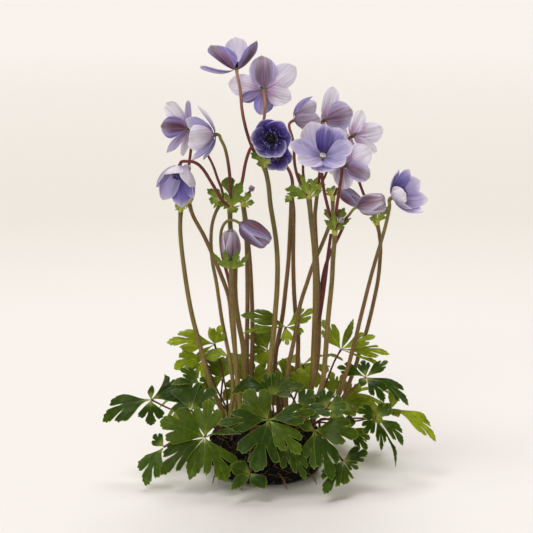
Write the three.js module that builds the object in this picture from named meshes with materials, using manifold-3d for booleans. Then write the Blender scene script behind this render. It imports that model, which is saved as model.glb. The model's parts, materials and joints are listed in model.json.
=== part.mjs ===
// A wood anemone with its bare root ball, in millimetres, +Z up.
// The origin is the centre of the flat underside of the root ball.
// Points in the tables are written as they are seen from the front:
// across, up the sight plane through the middle of the plant, and back from it.
import * as THREE from 'three';
import { mergeVertices } from 'three/addons/utils/BufferGeometryUtils.js';
import Module from 'manifold-3d';

const wasm = await Module();
wasm.setup();

// How the plant is looked at from the front
const SIGHT_TILT = THREE.MathUtils.degToRad(11);
const SIGHT_DISTANCE = 1400;
const SIGHT_HEIGHT = 171;

// Stock sizes of the plant
const LEAF_THICKNESS = 0.8;
const BRACT_THICKNESS = 0.8;
const TEPAL_THICKNESS = 0.7;
const TEPAL_OUTER_SHIFT = -0.3;
const TEPAL_LAYER_STEP = 1.0;
const TEPAL_CUP = 0.12;
const TEPAL_FOOT_TURN = 0.4;
const TEPAL_WIDEST_TURN = 0.8;
const TEPAL_SLIT_TURN = 0.03;
const TEPAL_FINE_STEPS = 40;
const TEPAL_FOOT_REACH = 2.0;
const LEAFLET_FOLD = 0.16;
const NODE_GAP = 0.35;
const SCAPE_SIDES = 5;
const PEDICEL_SIDES = 4;
const PETIOLE_SIDES = 4;
const SCAPE_SPACING = 44;
const PEDICEL_SPACING = 15;
const PETIOLE_SPACING = 34;
const PETIOLE_RADIUS = 1.1;
const FOOT_BOTTOM = 28;
const FOOT_TOP = 46;
const SCAPE_FOOT_RADIUS = 2.5;
const PETIOLE_FOOT_RADIUS = 1.7;
const HOLE_GAP = 0.4;
const HOLE_SIDES = 4;
const JOIN_TOLERANCE = 0.06;

// Height where a scape begins to lean back or forward, and where its lean is full
const LEAN_START = 46;
const LEAN_HEIGHT = 250;
const LEAN_POWER = 1.3;

// Root ball
const BALL_RADIUS = 45;
const BALL_PROFILE = [
  [0.0, 0], [0.80, 0], [0.93, 4], [1.0, 13], [1.0, 24], [0.98, 33], [0.90, 39], [0.60, 41.5], [0.0, 42.5],
];
const BALL_STEPS = 16;
const BALL_LUMP = 1.6;

// Outline of one side of a leaflet: along, and out as a share of half the width
const OUTLINES = {
  cut: [[0.28, 0.50], [0.60, 1.0], [0.72, 0.46], [0.93, 0.42]],
  broad: [[0.26, 0.62], [0.60, 1.0], [0.80, 0.70], [0.95, 0.46]],
  slim: [[0.34, 0.85], [0.72, 0.85]],
  small: [[0.30, 0.66], [0.60, 1.0], [0.90, 0.56]],
};
const SMALL_LEAFLET = 22;
const RIB_MIDDLE = 0.45;
const STRAIGHT_ARCH = 0.09;
const FOOT_REACH = 2.4;
const FOOT_HALF_WIDTH = 0.6;
const LEAST_HALF_WIDTH = 0.12;
const LEAFLET_SLIT = 0.55;
const WIDEST_WEB = 2.5;

// Rows of a tepal: how far along its middle and its sides are, and its share of the greatest width
const TEPAL_ROWS = [[0, 0, 0.30], [0.34, 0.34, 0.86], [0.70, 0.70, 1.0], [1.0, 0.91, 0.50]];

// Scapes: where each stands in the soil, and its limbs as routes of [across, up, back].
// A limb named with a bloom or bud ends at that one; its radii run from its start to its end.
// The lean is how far back or forward a scape stands from its route, full at LEAN_HEIGHT.
const STEMS = [
  {
    name: 'stem_far_left', foot: [-35, 2], lean: 8,
    limbs: [
      { r: [2.0, 1.6], at: [[-44.6, 73, -1], [-53.2, 105, -2], [-59.6, 129, -2], [-65.2, 161, 0], [-69, 196, 2],
        [-68.6, 213, 3]] },
      { r: [1.2, 1.0], bead: 2.6, at: [[-68.6, 213, 3], [-67, 226, 8], [-64.4, 239, 9], [-63.6, 246, 8]] },
    ],
    whorl: [-68.6, 213, 3],
    bracts: [[[-73, 218, 1], 4.5], [[-65.4, 219, 1], 4.5]],
  },
  {
    name: 'stem_left', foot: [-25, 7], lean: 24,
    limbs: [
      { r: [1.9, 1.5], at: [[-22.6, 62, 8], [-23.4, 85, 7], [-25.8, 105, 6], [-28, 125, 4], [-30, 143, 1],
        [-36.4, 161, 1], [-43, 177, 3], [-50.3, 193, 6], [-59, 209, 10], [-62, 219, 13]] },
      { r: [1.3, 1.1], bloom: 'bloom_left', at: [[-62, 219, 13], [-63, 236, 16], [-61.6, 252, 18],
        [-60, 265, 18]] },
    ],
    whorl: [-62, 219, 13],
    bracts: [[[-68, 215, 13], 4], [[-58, 223, 8], 5]],
  },
  {
    name: 'stem_thin_left', foot: [-30, -9], lean: 34,
    limbs: [
      { r: [1.6, 1.3], at: [[-26.8, 68, -5], [-29.2, 93, 0], [-32.4, 109, 5], [-35.6, 125, 7], [-38, 141, 8],
        [-40.4, 157, 8], [-43.2, 171, 8], [-44.4, 188, 8], [-43.4, 202, 9], [-39.8, 213, 9], [-36, 219, 9]] },
      { r: [1.2, 1.0], bead: 2.6, at: [[-36, 219, 9], [-34.8, 227, 9], [-38.8, 237, 8], [-42.8, 249, 9],
        [-47.6, 258, 13], [-51, 264, 17]] },
    ],
    whorl: [-36, 219, 9],
    bracts: [[[-47.6, 230, 7], 7], [[-46, 222, 5], 9], [[-41, 231, 10], 5], [[-32, 227, 12], 6]],
  },
  {
    name: 'stem_left_middle', foot: [-14, -1], lean: -26,
    limbs: [
      { r: [2.2, 1.8], at: [[-16, 65, -1], [-17.6, 85, -1], [-18.8, 105, -1], [-22, 121, -1], [-24.4, 137, -1],
        [-25.2, 150, -1], [-25.2, 171, -1], [-27.6, 189, 0], [-29, 201, 0], [-29.2, 215, 0]] },
      { r: [1.4, 1.2], bloom: 'bloom_nodding', at: [[-29.2, 215, 0], [-35.6, 221, -6], [-40.4, 229, -9],
        [-45.2, 237, -11], [-50.8, 246, -12], [-56, 251, -12], [-61.2, 252.6, -12], [-65.6, 251.4, -12]] },
      { r: [1.4, 1.2], bloom: 'bloom_left_cup', at: [[-29.2, 215, 0], [-28.8, 233, 0], [-30, 246, 0],
        [-31.6, 256, 0], [-34.5, 266.5, 0], [-38.4, 271.6, 0]] },
      { r: [1.4, 1.2], bloom: 'bloom_dark_eye', at: [[-29.2, 215, 0], [-23.6, 222, 2], [-19.2, 237, 6],
        [-17.2, 249, 9], [-13.6, 261, 11], [-9, 267.6, 13]] },
    ],
    whorl: [-29.2, 215, 0],
    bracts: [[[-30, 240, 7], 12, [0, -1, 0.2]], [[-20, 236, 4], 9, [0, -1, 0.2]], [[-39.6, 219, -7], 5],
      [[-24, 211, -8], 7], [[-33, 227, -4], 4]],
  },
  {
    name: 'stem_buds_left', foot: [-20, -15], lean: -30,
    limbs: [
      { r: [2.0, 1.6], bud: 'bud_upright', at: [[-21.6, 62, -14], [-23.6, 81, -13], [-25.2, 101, -12],
        [-26, 117, -12], [-27.6, 141, -12], [-28.4, 155, -12], [-28.4, 168, -12]] },
      { r: [1.5, 1.1], bud: 'bud_nodding', at: [[-27.2, 130, -12], [-28.4, 147, -9], [-31.2, 161, -5],
        [-34.6, 173, -3], [-36.6, 185, -1], [-36.8, 193, -1], [-34.8, 201, -3], [-30.8, 205.2, -5],
        [-26.4, 205.6, -7]] },
    ],
    whorl: [-28.4, 165.6, -12],
    bracts: [[[-43, 179, -15], 4, [-0.35, -0.9, -0.2]], [[-14, 178, -14], 4, [0.35, -0.9, -0.2]],
      [[-33.4, 181.6, -23], 5, [-0.3, -0.95, -0.25]], [[-23.4, 181.6, -23.4], 5, [0.3, -0.95, -0.25]]],
  },
  {
    name: 'stem_middle', foot: [-8, 12], lean: 26,
    limbs: [
      { r: [1.9, 1.5], at: [[-13.6, 62, 8], [-15.6, 81, 4], [-15.6, 109, 3], [-15.2, 141, 4], [-15.6, 173, 5],
        [-16.4, 193, 6], [-17.6, 205, 7], [-18.6, 217, 8]] },
      { r: [1.9, 1.5], at: [[-10.4, 62, 14], [-11.6, 81, 16], [-11.2, 113, 17], [-11.4, 132, 17],
        [-12, 149, 16], [-13.2, 171, 15], [-14.8, 189, 13], [-16, 203, 11], [-18.6, 217, 8]] },
      { r: [1.0, 0.8], bead: 2.0, at: [[-18.6, 217, 8], [-15.6, 225, 8], [-12, 230, 8]] },
    ],
    whorl: [-18.6, 217, 8],
    bracts: [[[-9.6, 219, 5], 6], [[-12.8, 228, 8], 6], [[-21.4, 225, 6], 4]],
  },
  {
    name: 'stem_tall', foot: [2, -7], lean: -4,
    limbs: [
      { r: [2.2, 1.7], at: [[1.8, 62, -8], [2.4, 85, -9], [4, 101, -9], [6, 117, -9], [7.2, 133, -9],
        [8.4, 149, -8], [8.8, 171, -7], [7.6, 189, -5], [5.2, 205, -4], [3.2, 217, -3], [1.6, 233, -1],
        [-0.4, 243, 1], [-2, 248, 2]] },
      { r: [1.4, 1.2], bloom: 'bloom_top', at: [[-2, 248, 2], [-10, 259.6, 1], [-12.6, 266, 1],
        [-15.6, 274.6, 1], [-19.6, 293, 2], [-21.2, 312, 3]] },
      { r: [1.3, 1.1], bloom: 'bloom_upper', at: [[-2, 248, 2], [-6.6, 256, 10], [-6, 268, 22],
        [-2.4, 283, 15], [-1.2, 298, -3]] },
    ],
    whorl: [-2, 248, 2],
    bracts: [[[-12.4, 259, -4], 8], [[-8, 250, -5], 5], [[3, 254, 8], 4]],
  },
  {
    name: 'stem_pair_centre', foot: [10, 8], lean: 30,
    limbs: [
      { r: [1.9, 1.5], at: [[9.2, 62, 8], [6.8, 89, 8], [8.4, 105, 8], [10.8, 117, 8], [13.2, 131, 8],
        [15.2, 149, 7], [17.6, 173, 7], [18.8, 196, 7], [20, 224, 8]] },
      { r: [1.5, 1.2], bloom: 'bloom_low_cup', at: [[20, 224, 8], [21, 233, 13], [19.4, 242, 20],
        [14.6, 250, 25]] },
      { r: [1.9, 1.5], at: [[15, 62, 8], [24, 85, 8], [25.2, 99, 10], [25.2, 113, 12], [23.2, 131, 12],
        [22, 149, 10], [21.4, 173, 8], [21.6, 197, 5], [21.6, 214, 5], [20, 224, 8]] },
    ],
    whorl: [20, 224, 8],
    bracts: [[[15, 219, 1], 4], [[26, 231, 10], 5]],
  },
  {
    name: 'stem_right_middle', foot: [25, -3], lean: -6,
    limbs: [
      { r: [2.4, 1.9], at: [[33, 60, -3], [36.6, 77, -3], [38, 105, -3], [38.8, 125, -3], [39.2, 149, -3],
        [38.8, 173, -3], [37.5, 190, -3], [35.6, 206.6, -3], [34, 222.6, -2]] },
      { r: [1.3, 1.1], bloom: 'bloom_half_open', at: [[34, 222.6, -2], [29.2, 229.4, -2], [25.2, 238.6, -1],
        [22.4, 250, 1], [22, 262, 6], [20.6, 272, 12], [18, 279, 15]] },
      { r: [1.3, 1.0], bead: 2.6, at: [[34, 222.6, -2], [32, 228, 2], [30, 237, 5], [29, 246, 8], [29.6, 252, 9]] },
    ],
    whorl: [34, 222.6, -2],
    bracts: [[[14.8, 230, -3], 9], [[16, 226, -7], 5], [[25.4, 243, 2], 5], [[33.4, 235, 4], 5],
      [[44.5, 229, 0], 4], [[41, 240, 2], 4]],
  },
  {
    name: 'stem_right_back', foot: [29, 13], lean: 32,
    limbs: [
      { r: [2.0, 1.5], at: [[33, 62, 12], [39.6, 85, 11], [41.4, 101, 10], [42, 117, 10], [42.2, 137, 10],
        [41, 161, 10.5], [40, 180, 10.5], [39.2, 197, 9], [38.8, 209, 8], [40, 221, 8], [40.8, 230, 8]] },
      { r: [1.4, 1.1], bloom: 'bloom_upper_right', at: [[40.8, 230, 8], [42.8, 244, 11], [43.8, 261, 13],
        [43.4, 273, 12]] },
      { r: [1.2, 0.9], bead: 2.4, at: [[40.8, 230, 8], [45.4, 237, 6], [48.4, 244, 7], [50.4, 250, 8]] },
      { r: [1.7, 1.3], at: [[41.8, 124, 10], [44.6, 141, 9], [47, 158, 9], [49.6, 180, 8], [51.6, 194, 8]] },
      { r: [1.7, 1.3], at: [[41.8, 127, 10], [43.2, 145, 13], [46.8, 167, 14], [50.8, 178, 14],
        [56.4, 189, 12], [61.6, 200, 9]] },
    ],
    whorl: [40.8, 230, 8],
    bracts: [[[47, 233.6, 3], 4], [[33, 238, 12], 4]],
  },
  {
    name: 'stem_front_right', foot: [31, -12], lean: -36,
    limbs: [
      { r: [2.1, 1.7], at: [[39, 58, -10], [44.8, 75, -8], [46.8, 93, -7], [48, 109, -7], [49.2, 125, -7],
        [50.8, 141, -7], [52.4, 157, -6], [53.2, 173, -5], [54.4, 189, -4], [54.6, 195.6, -4]] },
      { r: [1.4, 1.2], bloom: 'bloom_bowl', at: [[54.6, 195.6, -4], [51.6, 206, -5], [47.6, 221, -5],
        [45.2, 233, -4], [44.2, 243, -3.5]] },
      { r: [1.4, 1.2], bloom: 'bloom_right_low', at: [[54.6, 195.6, -4], [55.4, 207, -6], [55.8, 213, -7],
        [57.6, 225, -9], [59.4, 236, -11], [60.6, 245, -11]] },
      { r: [1.2, 1.0], bud: 'bud_parting', at: [[54.6, 195.6, -4], [58.8, 201, -6], [62.8, 205.8, -8],
        [68, 211, -10]] },
      { r: [0.9, 0.8], bead: 1.9, at: [[54.6, 195.6, -4], [56.6, 202, -8], [59.6, 204.6, -11]] },
    ],
    whorl: [54.6, 195.6, -4],
    bracts: [[[46.8, 214, -4], 9], [[46, 205.4, -9], 4], [[62.4, 215, -2], 10], [[67.6, 206.6, -9], 5],
      [[53, 212, -8], 4]],
  },
  {
    name: 'stem_leaning', foot: [17, -16], lean: 4,
    limbs: [
      { r: [1.8, 1.4], at: [[15.6, 62, -15], [17.2, 86, -12], [19, 95, -9], [22, 109, -4], [24.4, 121, 0],
        [26, 133, 2], [28.4, 142.6, 3], [33.2, 157, 3.8], [36.4, 167, 4], [40.4, 176.4, 4.2],
        [45.2, 187.4, 4], [50, 200, 3], [52.8, 211, 3], [53, 223, 2]] },
      { r: [1.0, 0.9], bud: 'bud_striped', at: [[53, 223, 2], [55.6, 227, 0]] },
    ],
    whorl: [53, 223, 2],
    bracts: [[[48.4, 231, 5], 5], [[54, 233, 7], 5], [[58, 231.6, 5], 4]],
  },
  {
    name: 'stem_far_right', foot: [39, 5], lean: 14,
    limbs: [
      { r: [1.8, 1.3], bloom: 'bloom_far_right', at: [[47, 54, 0], [57.2, 63.4, -4], [61.2, 75.4, -5],
        [65.2, 87, -6], [68.4, 99.4, -6], [71.6, 111, -6], [74.8, 125, -6], [78.8, 141, -6], [82.8, 157, -6],
        [86.8, 171.4, -6], [90.8, 185, -6], [94.8, 198.6, -5], [97.4, 210, -4], [99, 219, -3]] },
      { r: [1.8, 1.4], at: [[53, 56, 5], [62, 64, 6], [67, 77, 8], [71.6, 89, 9], [74.8, 101, 10],
        [79.6, 115, 10], [82.8, 127, 9], [86, 141, 6], [89.2, 157, 4], [90.8, 173, 3], [91.2, 185, 3],
        [90, 195.4, 3], [88.4, 203, 3]] },
      { r: [1.2, 1.1], bloom: 'bloom_right', at: [[88.4, 203, 3], [84.4, 211, 4], [81, 218.6, 5],
        [78, 225, 6], [75.6, 231.4, 7], [73.2, 238.6, 9], [70.6, 252, 11], [66.4, 262, 9.6]] },
    ],
    whorl: [88.4, 203, 3],
    bracts: [[[93.4, 225, 0], 7], [[97.4, 216, -3], 6], [[82.4, 207, -1], 4], [[84.4, 215, 0], 5]],
  },
];

// Blooms: centre, the way each faces, size of its eye, and its tepals as
// [turn in degrees, length, width, slope at the base, slope at the tip, layer]
const BLOOMS = [
  { name: 'bloom_top', at: [-24, 326, 4], faces: [-0.1, 0.22, 0.95], eye: 3.2, tepals: [
    [190, 28, 17, 116, 50, 0], [226, 29, 25, 74, 30, 0], [330, 28, 16, 74, 22, 0], [84, 32, 20, 60, 2, 1],
    [150, 26, 13, 68, 20, 0], [38, 27, 13, 66, 14, 0]] },
  { name: 'bloom_upper', at: [-2, 309, 8], faces: [-0.02, 0.93, 0.3], eye: 4.4, tepals: [
    [93, 26, 21, 88, 74, 0], [177, 27, 20, 86, 70, 1], [31, 29, 20, 86, 70, 1], [334, 22, 16, 88, 74, 0],
    [270, 21, 15, 88, 74, 0], [210, 20, 9, 88, 74, 0], [304, 18, 10, 86, 68, 1]] },
  { name: 'bloom_dark_eye', at: [3.6, 270.2, 3], faces: [0.0, -0.98, 0.1], eye: 7.6, tepals: [
    [0, 19, 21, 86, 20, 0], [60, 19, 21, 86, 20, 1], [120, 19, 21, 86, 20, 0], [180, 19, 21, 86, 20, 1],
    [240, 18.5, 21, 86, 20, 0], [300, 18.5, 21, 86, 20, 1]] },
  { name: 'bloom_low_cup', at: [8.4, 255.6, 18], faces: [0.04, -0.95, 0.2], eye: 4.4, tepals: [
    [0, 13, 14, 84, 30, 0], [60, 13, 14, 84, 30, 1], [120, 13, 14, 84, 30, 0], [180, 13, 14, 84, 30, 1],
    [240, 14, 14, 84, 30, 0], [300, 14, 14, 84, 30, 1]] },
  { name: 'bloom_half_open', at: [22.8, 285, 15], faces: [0.92, 0.06, 0.3], eye: 3.0, tepals: [
    [90, 25, 19, 84, -14, 0], [150, 24, 19, 84, -14, 1], [210, 24, 19, 84, -14, 0], [270, 25, 19, 84, -14, 1],
    [330, 25, 20, 84, -14, 0], [30, 25, 19, 84, -14, 1]] },
  { name: 'bloom_upper_right', at: [46.8, 285, 14], faces: [0.72, 0.66, 0.1], eye: 4.2, tepals: [
    [84, 27, 20, 84, 48, 1], [10, 25, 24, 84, 52, 0], [306, 21, 15, 82, 46, 1], [245, 18, 14, 84, 40, 0],
    [165, 16, 13, 80, 20, 1]] },
  { name: 'bloom_bowl', at: [44.9, 255, -8], faces: [0.02, -0.66, 0.75], eye: 0, tepals: [
    [168, 26, 19, 84, 56, 1], [112, 29, 24, 83, 52, 0], [62, 26, 22, 83, 52, 0], [14, 23, 19, 84, 56, 1],
    [318, 22, 18, 83, 52, 1], [270, 21, 18, 84, 56, 0], [222, 24, 20, 83, 52, 1], [88, 25, 12, 85, 60, 1]] },
  { name: 'bloom_right', at: [69.4, 272.4, 12], faces: [0.72, 0.62, 0.1], eye: 4.2, tepals: [
    [70, 20.5, 16, 84, 58, 0], [145, 17, 14, 80, 36, 1], [212, 20, 15, 84, 44, 0], [316, 22, 10, 84, 58, 0],
    [2, 24.5, 17, 80, 46, 1]] },
  { name: 'bloom_right_low', at: [62.6, 248.6, 2], faces: [0.45, 0.87, 0.05], eye: 4.4, tepals: [
    [84, 19, 13, 87, 74, 0], [31, 22, 20, 85, 66, 1], [334, 20, 15, 87, 72, 0], [252, 18, 16, 87, 74, 0],
    [198, 17, 13, 84, 62, 1], [140, 18, 13, 84, 62, 1]] },
  { name: 'bloom_far_right', at: [101.6, 223.4, -2], faces: [0.8, -0.42, 0.42], eye: 4.2, tepals: [
    [106, 23, 12, 84, 18, 0], [66, 25, 16, 82, 14, 1], [22, 28, 18, 84, 18, 0], [336, 28, 16, 82, 14, 1],
    [298, 26, 15, 84, 18, 0], [252, 21, 14, 82, 16, 1], [196, 23, 15, 74, 0, 0]] },
  { name: 'bloom_left', at: [-63.2, 278.4, 19], faces: [-0.78, 0.58, 0.06], eye: 4.2, tepals: [
    [0, 27, 17, 80, 28, 1], [90, 21, 7, 86, 74, 0], [131, 26, 16, 82, 50, 1], [184, 24, 18, 84, 54, 0],
    [238, 25, 9, 84, 58, 0], [292, 24, 13, 84, 62, 0]] },
  { name: 'bloom_left_cup', at: [-41.8, 273.4, 0], faces: [-0.92, -0.34, -0.04], eye: 4.0, tepals: [
    [352, 30, 23, 66, -2, 1], [70, 27, 13, 86, 34, 0], [126, 25, 17, 80, 8, 1], [194, 25, 17, 82, 14, 0],
    [256, 26, 15, 80, 10, 1], [302, 25, 12, 82, 26, 0]] },
  { name: 'bloom_nodding', at: [-69.6, 247.4, -12], faces: [-0.12, -0.55, -0.83], eye: 4.0, tepals: [
    [270, 33, 18, 76, -6, 0], [214, 29, 18, 74, -8, 1], [326, 28, 18, 74, -8, 1], [155, 26, 18, 78, -4, 0],
    [25, 26, 17, 78, -6, 0], [90, 20, 18, 80, 20, 1]] },
];

// Buds: base, tip, widest radius, and how far the tepals part at the tip
const BUDS = [
  { name: 'bud_striped', base: [58.6, 229.4, -2], tip: [74.4, 218.4, -6], radius: 5.6, part: 0.1 },
  { name: 'bud_parting', base: [73.4, 215.6, -12], tip: [94.6, 219.4, -16], radius: 8.0, part: 0.42 },
  { name: 'bud_nodding', base: [-20.6, 202, -8.6], tip: [1.4, 187, -12], radius: 8.6, part: 0.2 },
  { name: 'bud_upright', base: [-28.4, 172.6, -12], tip: [-29.2, 196.4, -13], radius: 7.4, part: 0.12 },
];

// Leaves: where each stands in the soil, its petiole, and its leaflets as
// [tip, width, way the face looks, arch, outline]
const LEAVES = [
  { name: 'leaf_far_left', foot: [-40, -8], blades: [
    { petiole: [[-50, 50, -10], [-64, 50, -11], [-76.4, 53.6, -10]], joint: [-92.4, 61.4, -9], leaflets: [
      [[-129.4, 44.6, -14], 21, [-0.25, -0.6, 0.75], 0.10, 'cut'],
      [[-92.6, 41.6, -20], 18, [0, -0.85, 0.5], 0.10, 'cut'],
      [[-68.4, 72, 14], 30, [0.15, -0.75, 0.6], 0.12, 'broad'],
      [[-91.6, 72.6, -4], 5, [-0.3, -0.8, 0.4], 0.05, 'slim']] }] },
  { name: 'leaf_left_fan', foot: [-37, -18], blades: [
    { petiole: [[-46, 45, -22], [-54, 46, -22]], joint: [-60.4, 53, -18], leaflets: [
      [[-64.4, 76.8, -6], 25, [-0.1, -0.8, 0.55], 0.06, 'broad'],
      [[-41.4, 69, -13], 19, [0.1, -0.75, 0.65], 0.08, 'broad'],
      [[-75.6, 54.6, -14], 10, [-0.1, -0.4, 0.9], 0.05, 'slim']] },
    { petiole: [[-42, 52, -12], [-50, 66, -6]], joint: [-54.4, 75, -3], leaflets: [
      [[-68.4, 86, -5], 9, [-0.2, -0.6, 0.75], 0.08, 'broad'],
      [[-75.2, 74, -9], 7, [-0.1, -0.6, 0.75], 0.10, 'slim']] }] },
  { name: 'leaf_front_left', foot: [-28, -30], blades: [
    { petiole: [[-40, 42, -40], [-46, 38, -42]], joint: [-49.4, 31, -44], leaflets: [
      [[-46, 60.4, -36], 20, [0, -0.88, 0.45], 0.06, 'broad'],
      [[-22, 34.6, -58], 9, [0.1, -0.35, 0.9], 0.06, 'slim'],
      [[-83.4, 44, -44], 26, [-0.1, -0.78, 0.6], 0.08, 'broad'],
      [[-83.6, 2.4, -58], 20, [-0.2, -0.8, 0.55], 0.10, 'cut'],
      [[-61.2, -1.4, -62], 12, [-0.05, -0.85, 0.5], 0.06, 'slim'],
      [[-33, -2, -66], 29, [0.1, -0.8, 0.6], 0.08, 'cut']] },
    { petiole: [[-48, 40, -30], [-66, 34, -30]], joint: [-82, 23.4, -32], leaflets: [
      [[-90, 33, -26], 10, [-0.35, -0.8, 0.45], 0.06, 'broad'],
      [[-96.4, -6, -46], 18, [-0.4, -0.8, 0.4], 0.12, 'cut']] }] },
  { name: 'leaf_front', foot: [3, -34], blades: [
    { petiole: [[2.4, 44, -44]], joint: [1.6, 45, -52], leaflets: [
      [[-16.4, 67.8, -50], 24, [-0.2, -0.8, 0.6], 0.06, 'broad'],
      [[-37.4, 42.4, -60], 15, [0, -0.8, 0.6], 0.06, 'cut'],
      [[-8.4, 5.4, -76], 32, [0, -0.8, 0.6], 0.08, 'cut'],
      [[26, 18.6, -70], 21, [0.2, -0.8, 0.55], 0.06, 'cut'],
      [[38, 51.6, -52], 15, [0.1, -0.85, 0.5], 0.06, 'cut']] }] },
  { name: 'leaf_front_upper', foot: [9, -24], blades: [
    { petiole: [[6, 50, -30], [5, 58, -33]], joint: [4.4, 65.4, -34], leaflets: [
      [[-26.8, 66.4, -36], 15, [-0.05, -0.35, 0.93], 0.20, 'slim'],
      [[-1.6, 81.6, -24], 9, [-0.3, -0.85, 0.4], 0.06, 'broad'],
      [[10, 84, -22], 12, [0.25, -0.85, 0.45], 0.06, 'broad'],
      [[29.4, 73, -30], 15, [0.1, -0.7, 0.7], 0.10, 'cut'],
      [[19, 63.4, -44], 7, [0.1, -0.5, 0.85], 0.08, 'slim']] }] },
  { name: 'leaf_low_front', foot: [-10, -33], blades: [
    { petiole: [[-12, 41, -48], [-13, 24, -58]], joint: [-12.8, 2.2, -66], leaflets: [
      [[-28.6, 8.4, -70], 11, [-0.1, -0.8, 0.55], 0.05, 'slim'],
      [[-27.6, -10, -82], 8, [0, -0.6, 0.8], 0.05, 'slim'],
      [[-2, -9.4, -80], 12, [0.1, -0.7, 0.7], 0.05, 'slim']] },
    { petiole: [[0, 38, -52]], joint: [17.2, 26, -54], leaflets: [
      [[13, 7, -58], 12, [0, -0.85, 0.5], 0.05, 'cut'],
      [[31, -1.6, -62], 12, [0.1, -0.85, 0.5], 0.05, 'cut']] }] },
  { name: 'leaf_front_right', foot: [24, -30], blades: [
    { petiole: [[32, 42, -40]], joint: [38, 36.6, -46], leaflets: [
      [[38, 7, -64], 15, [-0.1, -0.85, 0.5], 0.06, 'cut'],
      [[52, -1.4, -74], 19, [0.2, -0.85, 0.5], 0.08, 'cut'],
      [[71.6, 33, -56], 22, [0.1, -0.8, 0.6], 0.10, 'broad'],
      [[25, 44, -50], 8, [-0.1, -0.7, 0.7], 0.05, 'slim']] },
    { petiole: [[40, 36, -36], [52, 24, -44]], joint: [61.2, 12.2, -50], leaflets: [
      [[62, -5.6, -66], 18, [0.1, -0.85, 0.5], 0.08, 'broad'],
      [[46.8, -12.4, -78], 16, [0, -0.75, 0.65], 0.08, 'broad'],
      [[80, 19.4, -50], 13, [0.2, -0.8, 0.5], 0.05, 'broad'],
      [[73, 6, -58], 9, [0.2, -0.85, 0.5], 0.05, 'cut']] }] },
  { name: 'leaf_right', foot: [39, -18], blades: [
    { petiole: [[50, 46, -24], [64, 46.4, -26], [79.6, 46.4, -26]], joint: [87.6, 46.2, -26], leaflets: [
      [[72.6, 52.4, -34], 12, [0, -0.6, 0.8], 0.08, 'broad'],
      [[78, 34.8, -38], 11, [0, -0.88, 0.45], 0.06, 'broad'],
      [[98.8, 57.6, -20], 11, [0, -0.8, 0.6], 0.06, 'broad'],
      [[108.6, 26, -32], 15, [0.4, -0.65, 0.6], 0.12, 'cut'],
      [[92, 22, -40], 8, [0.35, -0.7, 0.55], 0.08, 'cut'],
      [[103.6, 9.6, -36], 4, [0.4, -0.65, 0.6], 0.10, 'slim']] },
    { petiole: [[52, 42, -22]], joint: [67, 38.4, -22], leaflets: [
      [[82, 30, -26], 10, [0.1, -0.8, 0.55], 0.05, 'broad'],
      [[80, 22, -32], 10, [0.1, -0.85, 0.5], 0.05, 'broad'],
      [[66, 49, -26], 8, [-0.1, -0.8, 0.55], 0.05, 'slim']] }] },
  { name: 'leaf_right_far', foot: [44, -5], blades: [
    { petiole: [[56, 44, -9], [70, 44, -12], [91.6, 49.4, -12]], joint: [100, 54.2, -10], leaflets: [
      [[134, 29.4, -14], 18, [0.45, -0.6, 0.65], 0.10, 'cut'],
      [[102.8, 72, -4], 8, [0.3, -0.85, 0.4], 0.05, 'slim'],
      [[105.4, 48, -20], 8, [0.1, -0.7, 0.7], 0.05, 'slim']] }] },
  { name: 'leaf_right_arching', foot: [32, -23], blades: [
    { petiole: [[46, 53, -22], [60, 63, -18], [67, 69, -15], [73.2, 73.8, -12]], joint: [79.4, 79.2, -10],
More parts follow.
